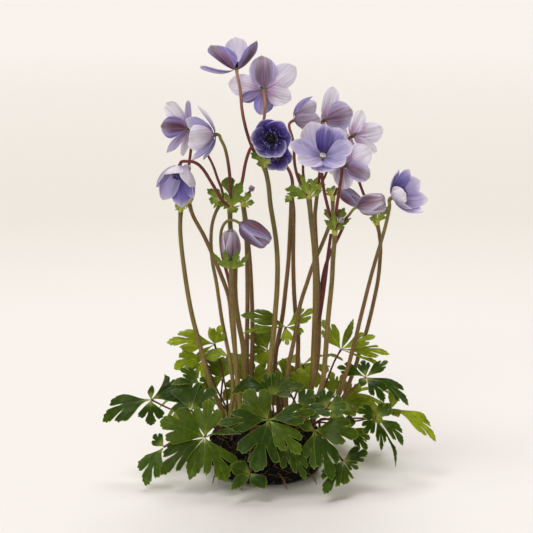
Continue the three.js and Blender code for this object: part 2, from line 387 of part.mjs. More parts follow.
      leaflets: [
        [[57, 87.6, 13], 9, [-0.1, -0.8, 0.6], 0.05, 'cut'],
        [[77, 92.4, 2], 9, [0, -0.85, 0.5], 0.05, 'broad'],
        [[96.4, 92, 1], 8, [0.4, -0.55, 0.72], 0.06, 'broad'],
        [[112.4, 58, -8], 19, [0.4, -0.55, 0.72], 0.1, 'cut'],
        [[93.4, 60.4, -26], 15, [0.2, -0.8, 0.5], 0.10, 'cut'],
        [[75.6, 72, -18], 6, [-0.3, -0.85, 0.4], 0.05, 'slim']] }] },
  { name: 'leaf_right_upper', foot: [31.4, 3], blades: [
    { petiole: [[44, 66, 2], [50.8, 83.4, 3], [54.8, 93, 3]], joint: [59.6, 101.4, 2], leaflets: [
      [[45.4, 124, 5], 12, [-0.2, -0.88, 0.4], 0.06, 'broad'],
      [[69.2, 125, 2], 5, [0.2, -0.9, 0.4], 0.05, 'slim'],
      [[86, 112, 7], 12, [0.12, -0.75, 0.65], 0.08, 'cut'],
      [[97, 98.4, 6], 12, [0.12, -0.75, 0.65], 0.07, 'cut'],
      [[93, 86.4, 6], 4, [0.12, -0.75, 0.65], 0.07, 'slim']] },
    { petiole: [[38, 58, 10]], joint: [54.4, 64, 12], leaflets: [
      [[51.6, 83, 13], 12, [-0.1, -0.85, 0.5], 0.05, 'broad'],
      [[62, 81.6, 15], 10, [0.1, -0.85, 0.5], 0.05, 'broad']] }] },
  { name: 'leaf_middle_upper', foot: [14, -4], blades: [
    { petiole: [[8, 66, -2], [6.4, 89, -1], [8.4, 101, -1], [12.4, 111, -1]], joint: [15.6, 119.4, 0], leaflets: [
      [[-18.8, 129, 0], 13, [0, -0.6, 0.8], 0.07, 'cut'],
      [[-17, 115, -3], 7, [0, -0.6, 0.8], 0.06, 'cut'],
      [[37.2, 133.4, 13], 11, [0.1, -0.85, 0.5], 0.04, 'cut'],
      [[29.6, 116.4, 9], 9, [0.1, -0.8, 0.6], 0.04, 'cut'],
      [[16.6, 105.6, -5], 8, [0, -0.8, 0.5], 0.05, 'broad']] },
    { petiole: [[20, 56, -4]], joint: [25, 70, -6], leaflets: [
      [[28, 85.6, -8], 15, [0.1, -0.85, 0.5], 0.05, 'broad']] }] },
  { name: 'leaf_left_upper', foot: [-32, 16], blades: [
    { petiole: [[-32, 66, 16], [-37, 90, 16]], joint: [-41.6, 105.8, 14], leaflets: [
      [[-78, 107, 4], 17, [0, -0.6, 0.8], 0.06, 'cut'],
      [[-64, 86, 5], 4, [0, -0.6, 0.8], 0.06, 'slim'],
      [[-36.4, 120, 5], 11, [0.1, -0.85, 0.5], 0.06, 'broad'],
      [[-45.4, 119, 15], 5, [-0.1, -0.85, 0.5], 0.06, 'slim']] },
    { petiole: [[-40, 70, 14]], joint: [-49.2, 94, 10], leaflets: [
      [[-73, 87, 5], 16, [-0.2, -0.75, 0.65], 0.12, 'broad'],
      [[-58.4, 78, 2], 14, [-0.1, -0.85, 0.5], 0.06, 'cut'],
      [[-36.6, 98.6, 11], 10, [0.1, -0.8, 0.6], 0.05, 'slim']] },
    { petiole: [[-40, 58, 26]], joint: [-54, 64, 36], leaflets: [
      [[-86, 54, 44], 22, [-0.4, 0.2, 0.9], 0.12, 'cut'],
      [[-72, 42, 64], 22, [-0.3, 0.5, 0.8], 0.12, 'cut'],
      [[-46, 60, 60], 17, [0, 0.4, 0.9], 0.10, 'broad']] },
    { petiole: [[-36, 58, 20]], joint: [-35, 78, 24], leaflets: [
      [[-55, 69, 22], 15, [-0.1, -0.85, 0.5], 0.06, 'broad'],
      [[-48, 97, 23], 13, [-0.1, -0.85, 0.5], 0.06, 'broad'],
      [[-28, 98, 27], 14, [0.1, -0.85, 0.5], 0.06, 'broad']] }] },
  { name: 'leaf_back_right', foot: [38, 22], blades: [
    { petiole: [[50, 50, 16]], joint: [61.2, 58.6, 16], leaflets: [
      [[72.6, 70, 18], 14, [0, -0.85, 0.5], 0.05, 'broad'],
      [[78, 58, 15], 14, [0.1, -0.85, 0.5], 0.05, 'broad'],
      [[69, 50.4, 6], 11, [0.1, -0.8, 0.5], 0.05, 'slim']] },
    { petiole: [[42, 56, 36]], joint: [50, 58, 50], leaflets: [
      [[78, 50, 62], 20, [0.3, 0.3, 0.9], 0.12, 'cut'],
      [[56, 42, 84], 22, [0.1, 0.5, 0.85], 0.12, 'cut'],
      [[30, 60, 66], 18, [-0.2, 0.3, 0.9], 0.10, 'cut']] },
    { petiole: [[34, 66, 30], [31, 80, 34]], joint: [29, 89, 38], leaflets: [
      [[55, 92, 49], 20, [0.3, 0.2, 0.9], 0.12, 'cut'],
      [[38, 75, 68], 21, [0.1, 0.5, 0.85], 0.12, 'cut'],
      [[12, 90, 54], 18, [-0.2, 0.2, 0.9], 0.10, 'broad']] },
    { petiole: [[54, 60, 28]], joint: [68, 66, 34], leaflets: [
      [[98, 62, 44], 20, [0.3, 0.1, 0.9], 0.12, 'cut'],
      [[86, 46, 62], 20, [0.3, 0.5, 0.8], 0.12, 'cut']] },
    { petiole: [[30, 50, 25]], joint: [19, 66, 25], leaflets: [
      [[14, 89, 26], 13, [-0.1, -0.85, 0.5], 0.06, 'broad'],
      [[34, 84, 26], 14, [0.1, -0.85, 0.5], 0.06, 'broad'],
      [[2, 63, 24], 11, [0, -0.85, 0.5], 0.06, 'broad']] }] },
  { name: 'leaf_front_stems', foot: [20, -20], blades: [
    { petiole: [[34, 50, -30]], joint: [48.4, 54.6, -34], leaflets: [
      [[44, 66.4, -28], 13, [-0.1, -0.85, 0.5], 0.05, 'broad'],
      [[61.6, 56, -36], 13, [0.1, -0.8, 0.55], 0.06, 'broad']] },
    { petiole: [[22, 46, -30]], joint: [25.6, 54, -36], leaflets: [
      [[35, 66.6, -32], 11, [0.1, -0.85, 0.5], 0.05, 'broad'],
      [[46.8, 50, -48], 11, [0.1, -0.8, 0.6], 0.05, 'cut']] }] },
  { name: 'leaf_back', foot: [0, 26], blades: [
    { petiole: [[4, 64, 27], [3, 86, 28]], joint: [1.2, 101, 28], leaflets: [
      [[-8.4, 117.4, 28], 16, [-0.2, -0.88, 0.4], 0.06, 'broad'],
      [[-10.4, 101, 24], 14, [-0.1, -0.85, 0.5], 0.05, 'broad'],
      [[-4, 92, 19], 11, [0, -0.85, 0.5], 0.05, 'slim']] },
    { petiole: [[-8, 56, 38]], joint: [-18, 60, 52], leaflets: [
      [[-46, 52, 60], 20, [-0.3, 0.3, 0.9], 0.12, 'cut'],
      [[-22, 42, 86], 24, [0, 0.5, 0.85], 0.12, 'cut'],
      [[6, 56, 72], 18, [0.2, 0.3, 0.9], 0.10, 'cut']] },
    { petiole: [[-14, 70, 32], [-23, 86, 35]], joint: [-27, 94, 37], leaflets: [
      [[-54, 92, 50], 19, [-0.3, 0.2, 0.9], 0.12, 'cut'],
      [[-36, 80, 64], 20, [-0.1, 0.5, 0.85], 0.12, 'cut'],
      [[-10, 92, 56], 17, [0.2, 0.2, 0.9], 0.10, 'broad']] },
    { petiole: [[-6, 54, 26]], joint: [-13, 73, 26], leaflets: [
      [[-31, 66, 26], 14, [-0.1, -0.85, 0.5], 0.06, 'broad'],
      [[-21, 93, 27], 14, [0, -0.85, 0.5], 0.06, 'broad'],
      [[4, 85, 27], 14, [0.1, -0.85, 0.5], 0.06, 'broad']] }] },
];

// Roots that hang from the ball: start, end, and thickness
const ROOTS = [
  [[-45, 18, -8], [-49, 2, -16], 1.6], [[-38, 12, -26], [-43, 2, -36], 1.4], [[-14, 9, -44], [-20, 2, -52], 1.4],
  [[10, 12, -44], [16, 2, -50], 1.5], [[32, 10, -32], [40, 2, -38], 1.4], [[45, 14, -6], [51, 2, -10], 1.6],
  [[40, 16, 20], [47, 2, 24], 1.5], [[12, 14, 44], [16, 2, 52], 1.5], [[-20, 12, 40], [-26, 2, 48], 1.4],
  [[-42, 12, 20], [-50, 2, 22], 1.5],
];

const PAINTS = { stem: 0x6e5238, petal: 0xb9b0dc, stamen: 0x221d38, leaf: 0x5f8a35, soil: 0x33271d };

// A small repeatable number source, so that no two lobes are quite alike
let seed = 7;
function chance() {
  seed = (seed * 1103515245 + 12345) % 2147483648;
  return seed / 2147483648;
}

// Turns a point seen from the front into its place in the part
function place([across, up, back]) {
  const tilt_sin = Math.sin(SIGHT_TILT);
  const tilt_cos = Math.cos(SIGHT_TILT);
  const rise = up - SIGHT_HEIGHT * tilt_cos;
  const eye_y = -SIGHT_DISTANCE * tilt_cos;
  const eye_z = SIGHT_HEIGHT + SIGHT_DISTANCE * tilt_sin;
  const reach = (back - eye_y) / (rise * tilt_sin - eye_y);
  return new THREE.Vector3(
    reach * across,
    back,
    eye_z + reach * (SIGHT_HEIGHT + rise * tilt_cos - eye_z),
  );
}

// Moves a point of a scape, or of a bloom or bud on it, back or forward by the scape's lean
function leaned(point, lean) {
  const [across, up, back] = point;
  const share = Math.max(0, up - LEAN_START) / (LEAN_HEIGHT - LEAN_START);
  return [across, up, back + lean * Math.pow(share, LEAN_POWER)];
}

function leanOf(name) {
  return STEMS.find((stem) => stem.limbs.some((limb) => limb.bloom === name || limb.bud === name)).lean;
}

function closedBody(positions, indexes) {
  const geometry = new THREE.BufferGeometry();
  geometry.setAttribute('position', new THREE.Float32BufferAttribute(positions, 3));
  geometry.setIndex(indexes);
  const merged = mergeVertices(geometry, 1e-4);
  const mesh = new wasm.Mesh({
    numProp: 3,
    vertProperties: new Float32Array(merged.attributes.position.array),
    triVerts: new Uint32Array(merged.index.array),
  });
  const body = new wasm.Manifold(mesh);
  return body.volume() < 0 ? closedBody(positions, flipped(indexes)) : body;
}

function flipped(indexes) {
  const turned = [];
  for (let i = 0; i < indexes.length; i += 3) turned.push(indexes[i], indexes[i + 2], indexes[i + 1]);
  return turned;
}

function joined(bodies) {
  const pieces = wasm.Manifold.union(bodies).simplify(JOIN_TOLERANCE).decompose();
  return pieces.reduce((best, piece) => (piece.volume() > best.volume() ? piece : best));
}

// Closed skin over rings of equal count, with a fan at each end
function skin(rings) {
  const count = rings[0].length;
  const positions = [];
  const indexes = [];
  for (const ring of rings) for (const p of ring) positions.push(p.x, p.y, p.z);
  for (let i = 0; i + 1 < rings.length; i++) {
    for (let j = 0; j < count; j++) {
      const a = i * count + j;
      const b = i * count + ((j + 1) % count);
      indexes.push(a, b, a + count, b, b + count, a + count);
    }
  }
  const last = (rings.length - 1) * count;
  for (let j = 1; j + 1 < count; j++) {
    indexes.push(0, j + 1, j);
    indexes.push(last, last + j, last + j + 1);
  }
  return closedBody(positions, indexes);
}

// Round rod along a smooth line through the points, tapering from one radius to the other
function rod(points, radius_start, radius_end, sides, spacing = 16) {
  const line = new THREE.CatmullRomCurve3(points, false, 'centripetal');
  const steps = Math.max(1, Math.round(line.getLength() / spacing));
  const frames = line.computeFrenetFrames(steps, false);
  const rings = [];
  for (let i = 0; i <= steps; i++) {
    const share = i / steps;
    const centre = line.getPointAt(share);
    const radius = radius_start + (radius_end - radius_start) * share;
    const ring = [];
    for (let j = 0; j < sides; j++) {
      const turn = (j / sides) * Math.PI * 2;
      ring.push(centre.clone()
        .addScaledVector(frames.normals[i], Math.cos(turn) * radius)
        .addScaledVector(frames.binormals[i], Math.sin(turn) * radius));
    }
    rings.push(ring);
  }
  return skin(rings);
}

function ball(centre, radius, sides = 6, rows = 4, squash = 1) {
  const geometry = new THREE.SphereGeometry(radius, sides, rows);
  geometry.scale(1, 1, squash);
  geometry.translate(centre.x, centre.y, centre.z);
  const bare = new THREE.BufferGeometry();
  bare.setAttribute('position', geometry.attributes.position);
  bare.setIndex(geometry.index);
  const merged = mergeVertices(bare, 1e-4);
  return closedBody([...merged.attributes.position.array], [...merged.index.array]);
}

// Thin plate: points on its middle surface, each with a normal, and triangles shared by both faces
function plate(points, normals, triangles, thickness) {
  const positions = [];
  const indexes = [];
  const count = points.length;
  for (const side of [0.5, -0.5]) {
    for (let i = 0; i < count; i++) {
      const p = points[i].clone().addScaledVector(normals[i], side * thickness);
      positions.push(p.x, p.y, p.z);
    }
  }
  const edges = new Map();
  for (const [a, b, c] of triangles) {
    indexes.push(a, b, c, count + a, count + c, count + b);
    for (const [from, to] of [[a, b], [b, c], [c, a]]) edges.set(from * 4096 + to, [from, to]);
  }
  for (const [from, to] of edges.values()) {
    if (edges.has(to * 4096 + from)) continue;
    indexes.push(from, count + from, count + to, from, count + to, to);
  }
  return closedBody(positions, indexes);
}

// One leaflet or bract seen flat: its points as [along, across, share of the fold], first the joint
function leafletFrame(joint, [tip, width, face, arch, outline]) {
  const along = place(tip).sub(joint);
  const length = along.length();
  along.normalize();
  const normal = new THREE.Vector3(...face);
  normal.addScaledVector(along, -normal.dot(along)).normalize();
  const across = new THREE.Vector3().crossVectors(along, normal);
  return { joint, along, across, normal, length, width, arch, outline };
}

function leafletLift(frame, reach, out) {
  const share = reach / frame.length;
  return frame.arch * frame.length * 4 * share * (1 - share) + LEAFLET_FOLD * Math.abs(out) * Math.min(1, 3 * share);
}

// How far a point of one leaflet may stand out before it meets the plane midway to a neighbour
function roomBeside(frame, neighbours, reach, side) {
  let room = Infinity;
  for (const other of neighbours) {
    const toward = frame.across.dot(other.along) * side;
    if (toward <= 0.01) continue;
    const turn_cos = frame.along.dot(other.along);
    const leaning = frame.normal.dot(other.along);
    const slit = LEAFLET_SLIT * Math.sqrt(2 - 2 * turn_cos) + LEAF_THICKNESS / 2 * Math.abs(leaning);
    const spare = reach * (1 - turn_cos) - leafletLift(frame, reach, 0) * leaning - slit;
    room = Math.min(room, spare / Math.max(toward + LEAFLET_FOLD * leaning, 0.01));
  }
  return Math.max(room, LEAST_HALF_WIDTH);
}

// All the leaflets of one blade as a single plate, cut to the joint between them
function bladeBody(joint, leaflets, thickness) {
  const middle_normal = new THREE.Vector3();
  for (const [, , face] of leaflets) middle_normal.add(new THREE.Vector3(...face).normalize());
  middle_normal.normalize();
  const start = new THREE.Vector3(0, 0, -1).addScaledVector(middle_normal, middle_normal.z).normalize();
  const turned = new THREE.Vector3().crossVectors(start, middle_normal);
  const frames = leaflets.map((row) => leafletFrame(joint, row));
  for (const frame of frames) frame.turn = Math.atan2(frame.along.dot(turned), frame.along.dot(start));
  frames.sort((a, b) => a.turn - b.turn);
  const points = [joint.clone()];
  const normals = [middle_normal];
  const triangles = [];
  const addPoint = (frame, reach, out) => {
    points.push(joint.clone().addScaledVector(frame.along, reach).addScaledVector(frame.across, out)
      .addScaledVector(frame.normal, leafletLift(frame, reach, out)));
    normals.push(frame.normal);
    return points.length - 1;
  };
  for (const frame of frames) {
    const neighbours = frames.filter((other) => other !== frame);
    const rib = frame.arch > STRAIGHT_ARCH ? addPoint(frame, RIB_MIDDLE * frame.length, 0) : null;
    const tip = addPoint(frame, frame.length, 0);
    frame.feet = {};
    for (const side of [1, -1]) {
      const outline = frame.length < SMALL_LEAFLET && frame.outline !== 'slim' ? 'small' : frame.outline;
      const edge = [[Math.min(FOOT_REACH, frame.length * 0.2), FOOT_HALF_WIDTH], ...OUTLINES[outline].map(([s, t]) => (
        [(s + (chance() - 0.5) * 0.05) * frame.length, t * (0.92 + chance() * 0.14) * frame.width / 2]))];
      const flat = new Map([[0, [0, 0]], [rib, [RIB_MIDDLE * frame.length, 0]], [tip, [frame.length, 0]]]);
      const border = edge.map(([reach, out]) => {
        const kept = side * Math.min(out, roomBeside(frame, neighbours, reach, side));
        const index = addPoint(frame, reach, kept);
        flat.set(index, [reach, kept]);
        return index;
      });
      [frame.feet[side]] = border;
      const order = rib ? [0, ...border, tip, rib] : [0, ...border, tip];
      const shape = order.map((index) => new THREE.Vector2(...flat.get(index)));
      for (const corners of THREE.ShapeUtils.triangulateShape(shape, [])) {
        triangles.push(counterclockwise(corners.map((i) => order[i]), flat));
      }
    }
  }
  frames.forEach((frame, i) => {
    const next = frames[(i + 1) % frames.length];
    const gap = (next.turn - frame.turn + Math.PI * 2) % (Math.PI * 2);
    if (next !== frame && gap < WIDEST_WEB) triangles.push([0, frame.feet[1], next.feet[-1]]);
  });
  return plate(points, normals, triangles, thickness);
}

function counterclockwise([a, b, c], flat) {
  const [pa, pb, pc] = [flat.get(a), flat.get(b), flat.get(c)];
  const turn = (pb[0] - pa[0]) * (pc[1] - pa[1]) - (pb[1] - pa[1]) * (pc[0] - pa[0]);
  return turn > 0 ? [a, b, c] : [a, c, b];
}

// The two directions square to the way a bloom faces, the second one toward the top of the view
function facing(direction) {
  const axis = new THREE.Vector3(...direction).normalize();
  const view_up = new THREE.Vector3(0, Math.sin(SIGHT_TILT), Math.cos(SIGHT_TILT));
  const top = axis.z > 0.7 ? new THREE.Vector3(0, Math.cos(SIGHT_TILT), 0.2) : view_up;
  const upward = top.clone().addScaledVector(axis, -top.dot(axis)).normalize();
  const sideways = new THREE.Vector3().crossVectors(axis, upward);
  if (sideways.x < 0 || (Math.abs(sideways.x) < 0.2 && sideways.y > 0)) sideways.negate();
  return { axis, upward, sideways };
}

// Line from the heart of a bloom to a tepal's tip, as distance from the axis, height and slope
function tepalLine(length, base_slope, tip_slope) {
  const line = [];
  let reach = TEPAL_FOOT_REACH;
  let height = 0;
  for (let i = 0; i <= TEPAL_FINE_STEPS; i++) {
    const share = i / TEPAL_FINE_STEPS;
    const slope = THREE.MathUtils.degToRad(base_slope + (tip_slope - base_slope) * Math.pow(share, 0.8));
    line.push({ reach, height, slope });
    reach += Math.sin(slope) * length / TEPAL_FINE_STEPS;
    height += Math.cos(slope) * length / TEPAL_FINE_STEPS;
  }
  return line;
}

// Half the turn to the nearest tepal of the same layer on one side, less a narrow slit
function turnRoom(turn, turns, side) {
  const full = Math.PI * 2;
  const gaps = turns.map((other) => (((other - turn) * side) % full + full) % full).filter((gap) => gap > 0.01);
  return Math.min(full, ...gaps) / 2 - TEPAL_SLIT_TURN;
}

// The tepals of one layer as a single plate: strips of surfaces turned around the bloom's axis,
// held together by a small disc at the heart
function tepalPlate(centre, frame, layer, tepals) {
  const base = centre.clone().addScaledVector(frame.axis, TEPAL_OUTER_SHIFT + layer * TEPAL_LAYER_STEP);
  const points = [base];
  const normals = [frame.axis];
  const triangles = [];
  const feet = [];
  const turns = tepals.map(([turn_degrees]) => THREE.MathUtils.degToRad(turn_degrees));
  for (const [turn_degrees, length, width, base_slope, tip_slope] of tepals) {
    const turn = THREE.MathUtils.degToRad(turn_degrees);
    const room = { '-1': turnRoom(turn, turns, -1), 0: 0, 1: turnRoom(turn, turns, 1) };
    const line = tepalLine(length, base_slope, tip_slope);
    const first = points.length;
    for (const [middle_share, side_share, width_share] of TEPAL_ROWS) {
      const half = width_share * width / 2;
      for (const side of [-1, 0, 1]) {
        const { reach, height, slope } = line[Math.round((side === 0 ? middle_share : side_share) * TEPAL_FINE_STEPS)];
        const widest = side_share === 0 ? TEPAL_FOOT_TURN : TEPAL_WIDEST_TURN;
        const angle = turn + side * Math.min(half / reach, widest, room[side]);
        const outward = frame.sideways.clone().multiplyScalar(Math.cos(angle))
          .addScaledVector(frame.upward, Math.sin(angle));
        const inward = outward.clone().multiplyScalar(-Math.cos(slope)).addScaledVector(frame.axis, Math.sin(slope));
        const cup = side_share === 0 ? 0 : layer * Math.abs(side) * half * TEPAL_CUP;
        points.push(base.clone().addScaledVector(outward, reach).addScaledVector(frame.axis, height)
          .addScaledVector(inward, cup));
        normals.push(inward);
      }
    }
    for (let i = 0; i + 1 < TEPAL_ROWS.length; i++) {
      const a = first + i * 3;
      triangles.push([a, a + 1, a + 3], [a + 1, a + 4, a + 3], [a + 1, a + 2, a + 5], [a + 1, a + 5, a + 4]);
    }
    triangles.push([0, first + 1, first], [0, first + 2, first + 1]);
    feet.push({ turn, start: first, end: first + 2 });
  }
  feet.sort((a, b) => a.turn - b.turn);
  feet.forEach((foot, i) => {
    const next = feet[(i + 1) % feet.length];
    const gap = (next.turn - foot.turn + Math.PI * 2) % (Math.PI * 2);
    if (next !== foot && gap < WIDEST_WEB) triangles.push([0, next.start, foot.end]);
  });
  return plate(points, normals, triangles, TEPAL_THICKNESS);
}

function turnedBody(centre, axis, profile, sides, pinch = () => 1) {
  const helper = Math.abs(axis.z) > 0.9 ? new THREE.Vector3(1, 0, 0) : new THREE.Vector3(0, 0, 1);
  const first = new THREE.Vector3().crossVectors(axis, helper).normalize();
  const second = new THREE.Vector3().crossVectors(axis, first);
  const rings = profile.map(([radius, height], row) => {
    const ring = [];
    for (let j = 0; j < sides; j++) {
      const turn = (j / sides) * Math.PI * 2;
      const r = radius * pinch(j, row);
      ring.push(centre.clone().addScaledVector(axis, height)
        .addScaledVector(first, Math.cos(turn) * r).addScaledVector(second, Math.sin(turn) * r));
    }
    return ring;
  });
  return skin(rings);
}

function bloomBody(bloom) {
  const centre = place(leaned(bloom.at, leanOf(bloom.name)));
  const frame = facing(bloom.faces);
  const heart = turnedBody(centre, frame.axis,
    [[1.0, -1.0], [1.0, 1.0]], 5);
  const layers = [0, 1].map((layer) => tepalPlate(centre, frame, layer,
    bloom.tepals.filter((row) => row[5] === layer)));
  return joined([heart, ...layers]);
}

// Stamens as a scalloped ring around the small dome of carpels
function eyeBody(bloom) {
  const centre = place(leaned(bloom.at, leanOf(bloom.name)));
  const { axis } = facing(bloom.faces);
  const size = bloom.eye;
  if (size === 0) {
    return turnedBody(centre, axis, [[0.9, 1.4], [1.7, 2.0], [1.6, 2.9], [0.7, 3.6]], 6);
  }
  const rim = 0.6 + size * 0.7;
  const profile = [[1.0, 1.4], [size, rim], [size * 0.9, rim + 1.2], [1.8, rim + 2.4]];
  return turnedBody(centre, axis, profile, 8, (j, row) => ((row === 1 || row === 2) && j % 2 ? 0.85 : 1));
}

// A bud keeps its own tilt: both of its ends move as far as its base does
function budEnds(bud) {
  const base = leaned(bud.base, leanOf(bud.name));
  const shift = base[2] - bud.base[2];
  return [place(base), place([bud.tip[0], bud.tip[1], bud.tip[2] + shift])];
}

function budBody(bud) {
  const [base, tip] = budEnds(bud);
  const axis = tip.clone().sub(base);
  const length = axis.length();
  axis.normalize();
  const r = bud.radius;
  const profile = [[r * 0.22, 0.2], [r * 0.62, length * 0.08], [r * 0.95, length * 0.3], [r, length * 0.52],
    [r * 0.84, length * 0.76], [r * (0.4 + bud.part * 0.4), length * 0.94], [r * (0.1 + bud.part * 0.3), length]];
  return turnedBody(base, axis, profile, 9);
}

// Where a pedicel meets its bloom or bud, and the point it comes in through
function arrival(limb) {
  const target = limb.bloom
    ? BLOOMS.find((bloom) => bloom.name === limb.bloom)
    : BUDS.find((bud) => bud.name === limb.bud);
  if (limb.bloom) {
    const centre = place(leaned(target.at, leanOf(limb.bloom)));
    const { axis } = facing(target.faces);
    return [centre.clone().addScaledVector(axis, -6), centre.clone().addScaledVector(axis, -1.0 - NODE_GAP)];
  }
  const [base, tip] = budEnds(target);
  const axis = tip.sub(base).normalize();
  return [base.clone().addScaledVector(axis, -4), base.clone().addScaledVector(axis, 0.2 - NODE_GAP)];
}

function stemBody(stem) {
  const foot = new THREE.Vector3(stem.foot[0], stem.foot[1], FOOT_TOP);
  const bodies = [
    rod([new THREE.Vector3(stem.foot[0], stem.foot[1], FOOT_BOTTOM), foot.clone().setZ(FOOT_TOP + 1)],
      SCAPE_FOOT_RADIUS, SCAPE_FOOT_RADIUS, SCAPE_SIDES, 100),
  ];
  const from_soil = new Set();
  for (const limb of stem.limbs) {
    const points = limb.at.map((point) => place(leaned(point, stem.lean)));
    if (limb.at[0][1] < 80) {
      points.unshift(foot);
      from_soil.add(limb);
    }
    if (limb.bloom || limb.bud) points.push(...arrival(limb));
    bodies.push(rod(points, limb.r[0], limb.r[1], from_soil.has(limb) ? SCAPE_SIDES : PEDICEL_SIDES,
      from_soil.has(limb) ? SCAPE_SPACING : PEDICEL_SPACING));
    if (limb.bead) bodies.push(ball(points[points.length - 1], limb.bead, 5, 3));
  }
  const whorl = place(leaned(stem.whorl, stem.lean));
  if (!stem.limbs.some((limb) => limb.bud === 'bud_upright')) bodies.push(ball(whorl, 3.0, 4, 2));
  const bracts = stem.bracts.map(([tip, width, face = [0, -0.8, 0.6]]) => (
    [leaned(tip, stem.lean), width, face, 0.06, 'slim']));
  bodies.push(bladeBody(whorl, bracts, BRACT_THICKNESS));
  return joined(bodies);
}

function leafBody(leaf) {
  const foot = new THREE.Vector3(leaf.foot[0], leaf.foot[1], FOOT_TOP);
  const bodies = [
    rod([new THREE.Vector3(leaf.foot[0], leaf.foot[1], FOOT_BOTTOM), foot.clone().setZ(FOOT_TOP + 0.6)],
      PETIOLE_FOOT_RADIUS, PETIOLE_FOOT_RADIUS, PETIOLE_SIDES, 100),
  ];
  for (const blade of leaf.blades) {
    const joint = place(blade.joint);
    bodies.push(rod([foot, ...blade.petiole.map(place), joint], PETIOLE_RADIUS, PETIOLE_RADIUS, PETIOLE_SIDES, PETIOLE_SPACING));
    bodies.push(bladeBody(joint, blade.leaflets, LEAF_THICKNESS));
  }
  return joined(bodies);
}

function rootBallBody() {
  const rings = BALL_PROFILE.slice(1, -1).map(([share, height], row) => {
    const ring = [];
    for (let j = 0; j < BALL_STEPS; j++) {
      const turn = (j / BALL_STEPS) * Math.PI * 2;
      const lump = row === 0 ? 0 : (chance() - 0.5) * 2 * BALL_LUMP;
      const radius = BALL_RADIUS * share + lump;
      const z = row === 0 ? 0 : height + (row > 3 ? 0 : (chance() - 0.5) * BALL_LUMP);
      ring.push(new THREE.Vector3(Math.cos(turn) * radius, Math.sin(turn) * radius, z));
    }
    return ring;
  });
  let body = skin(rings);
  const roots = ROOTS.map(([from, to, thickness]) => {
    const start = new THREE.Vector3(from[0] * 0.86, from[2] * 0.86, from[1]);
    const end = new THREE.Vector3(to[0], to[2], to[1]);
    const bend = start.clone().lerp(end, 0.6).add(new THREE.Vector3(to[0] * 0.05, to[2] * 0.05, 2));
    return rod([start, bend, end], thickness, 0.8, 4, 9);
  });
  body = joined([body, ...roots]);
  const holes = [];
  for (const stem of STEMS) holes.push([stem.foot, SCAPE_FOOT_RADIUS]);
  for (const leaf of LEAVES) holes.push([leaf.foot, PETIOLE_FOOT_RADIUS]);
  for (const [[x, y], radius] of holes) {
    const reach = (radius + HOLE_GAP) / Math.cos(Math.PI / HOLE_SIDES);
    const bore = wasm.Manifold.cylinder(30, reach, reach, HOLE_SIDES, false)
      .translate([x, y, FOOT_BOTTOM - HOLE_GAP]);
    body = body.subtract(bore);
  }
  return body;
}

const part = new THREE.Group();
part.name = 'wood_anemone';

function addNode(name, body, paint) {
  const mesh = body.getMesh();
  const geometry = new THREE.BufferGeometry();
  geometry.setAttribute('position', new THREE.Float32BufferAttribute(new Float32Array(mesh.vertProperties), 3));
  geometry.setIndex(new THREE.Uint32BufferAttribute(mesh.triVerts, 1));
  const node = new THREE.Mesh(geometry, new THREE.MeshStandardMaterial({ color: PAINTS[paint] }));
  node.name = name;
  part.add(node);
}

addNode('root_ball', rootBallBody(), 'soil');
for (const stem of STEMS) addNode(stem.name, stemBody(stem), 'stem');
for (const bloom of BLOOMS) addNode(bloom.name, bloomBody(bloom), 'petal');
for (const bloom of BLOOMS) addNode(bloom.name.replace('bloom', 'eye'), eyeBody(bloom), 'stamen');
for (const bud of BUDS) addNode(bud.name, budBody(bud), 'petal');
for (const leaf of LEAVES) addNode(leaf.name, leafBody(leaf), 'leaf');

export default part;
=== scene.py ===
"""Looks of a wood anemone with its root ball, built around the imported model.

The tables are in millimetres and say where each scape, bloom, bud and leaf is, as seen from the front.
"""

import json
import math
import random

import bpy
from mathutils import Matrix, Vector, geometry, noise

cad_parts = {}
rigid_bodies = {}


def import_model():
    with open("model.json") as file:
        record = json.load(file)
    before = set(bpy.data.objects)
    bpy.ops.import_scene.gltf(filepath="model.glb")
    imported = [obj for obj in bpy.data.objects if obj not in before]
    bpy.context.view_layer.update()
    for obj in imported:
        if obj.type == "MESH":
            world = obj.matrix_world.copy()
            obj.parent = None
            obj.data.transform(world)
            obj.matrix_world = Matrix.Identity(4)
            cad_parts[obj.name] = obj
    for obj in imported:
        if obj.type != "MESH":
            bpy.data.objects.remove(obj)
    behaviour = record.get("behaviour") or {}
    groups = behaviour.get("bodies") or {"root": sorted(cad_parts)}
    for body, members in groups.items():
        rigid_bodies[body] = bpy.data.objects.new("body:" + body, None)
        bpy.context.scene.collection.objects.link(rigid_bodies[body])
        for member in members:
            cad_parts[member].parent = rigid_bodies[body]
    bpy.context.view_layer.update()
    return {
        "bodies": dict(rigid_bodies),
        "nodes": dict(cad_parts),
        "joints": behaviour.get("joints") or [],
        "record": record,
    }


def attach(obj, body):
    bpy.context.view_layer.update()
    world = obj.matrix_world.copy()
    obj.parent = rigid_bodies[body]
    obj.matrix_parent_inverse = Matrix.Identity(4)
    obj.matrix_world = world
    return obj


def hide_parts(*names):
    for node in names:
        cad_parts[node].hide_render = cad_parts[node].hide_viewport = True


MM = 0.001
SEED = 11

# How the plant is looked at from the front
SIGHT_TILT = math.radians(11)
SIGHT_DISTANCE = 1400
SIGHT_HEIGHT = 171
CAMERA_LENS = 118.2
CAMERA_SENSOR = 36
CAMERA_CLIP = (0.05, 60)

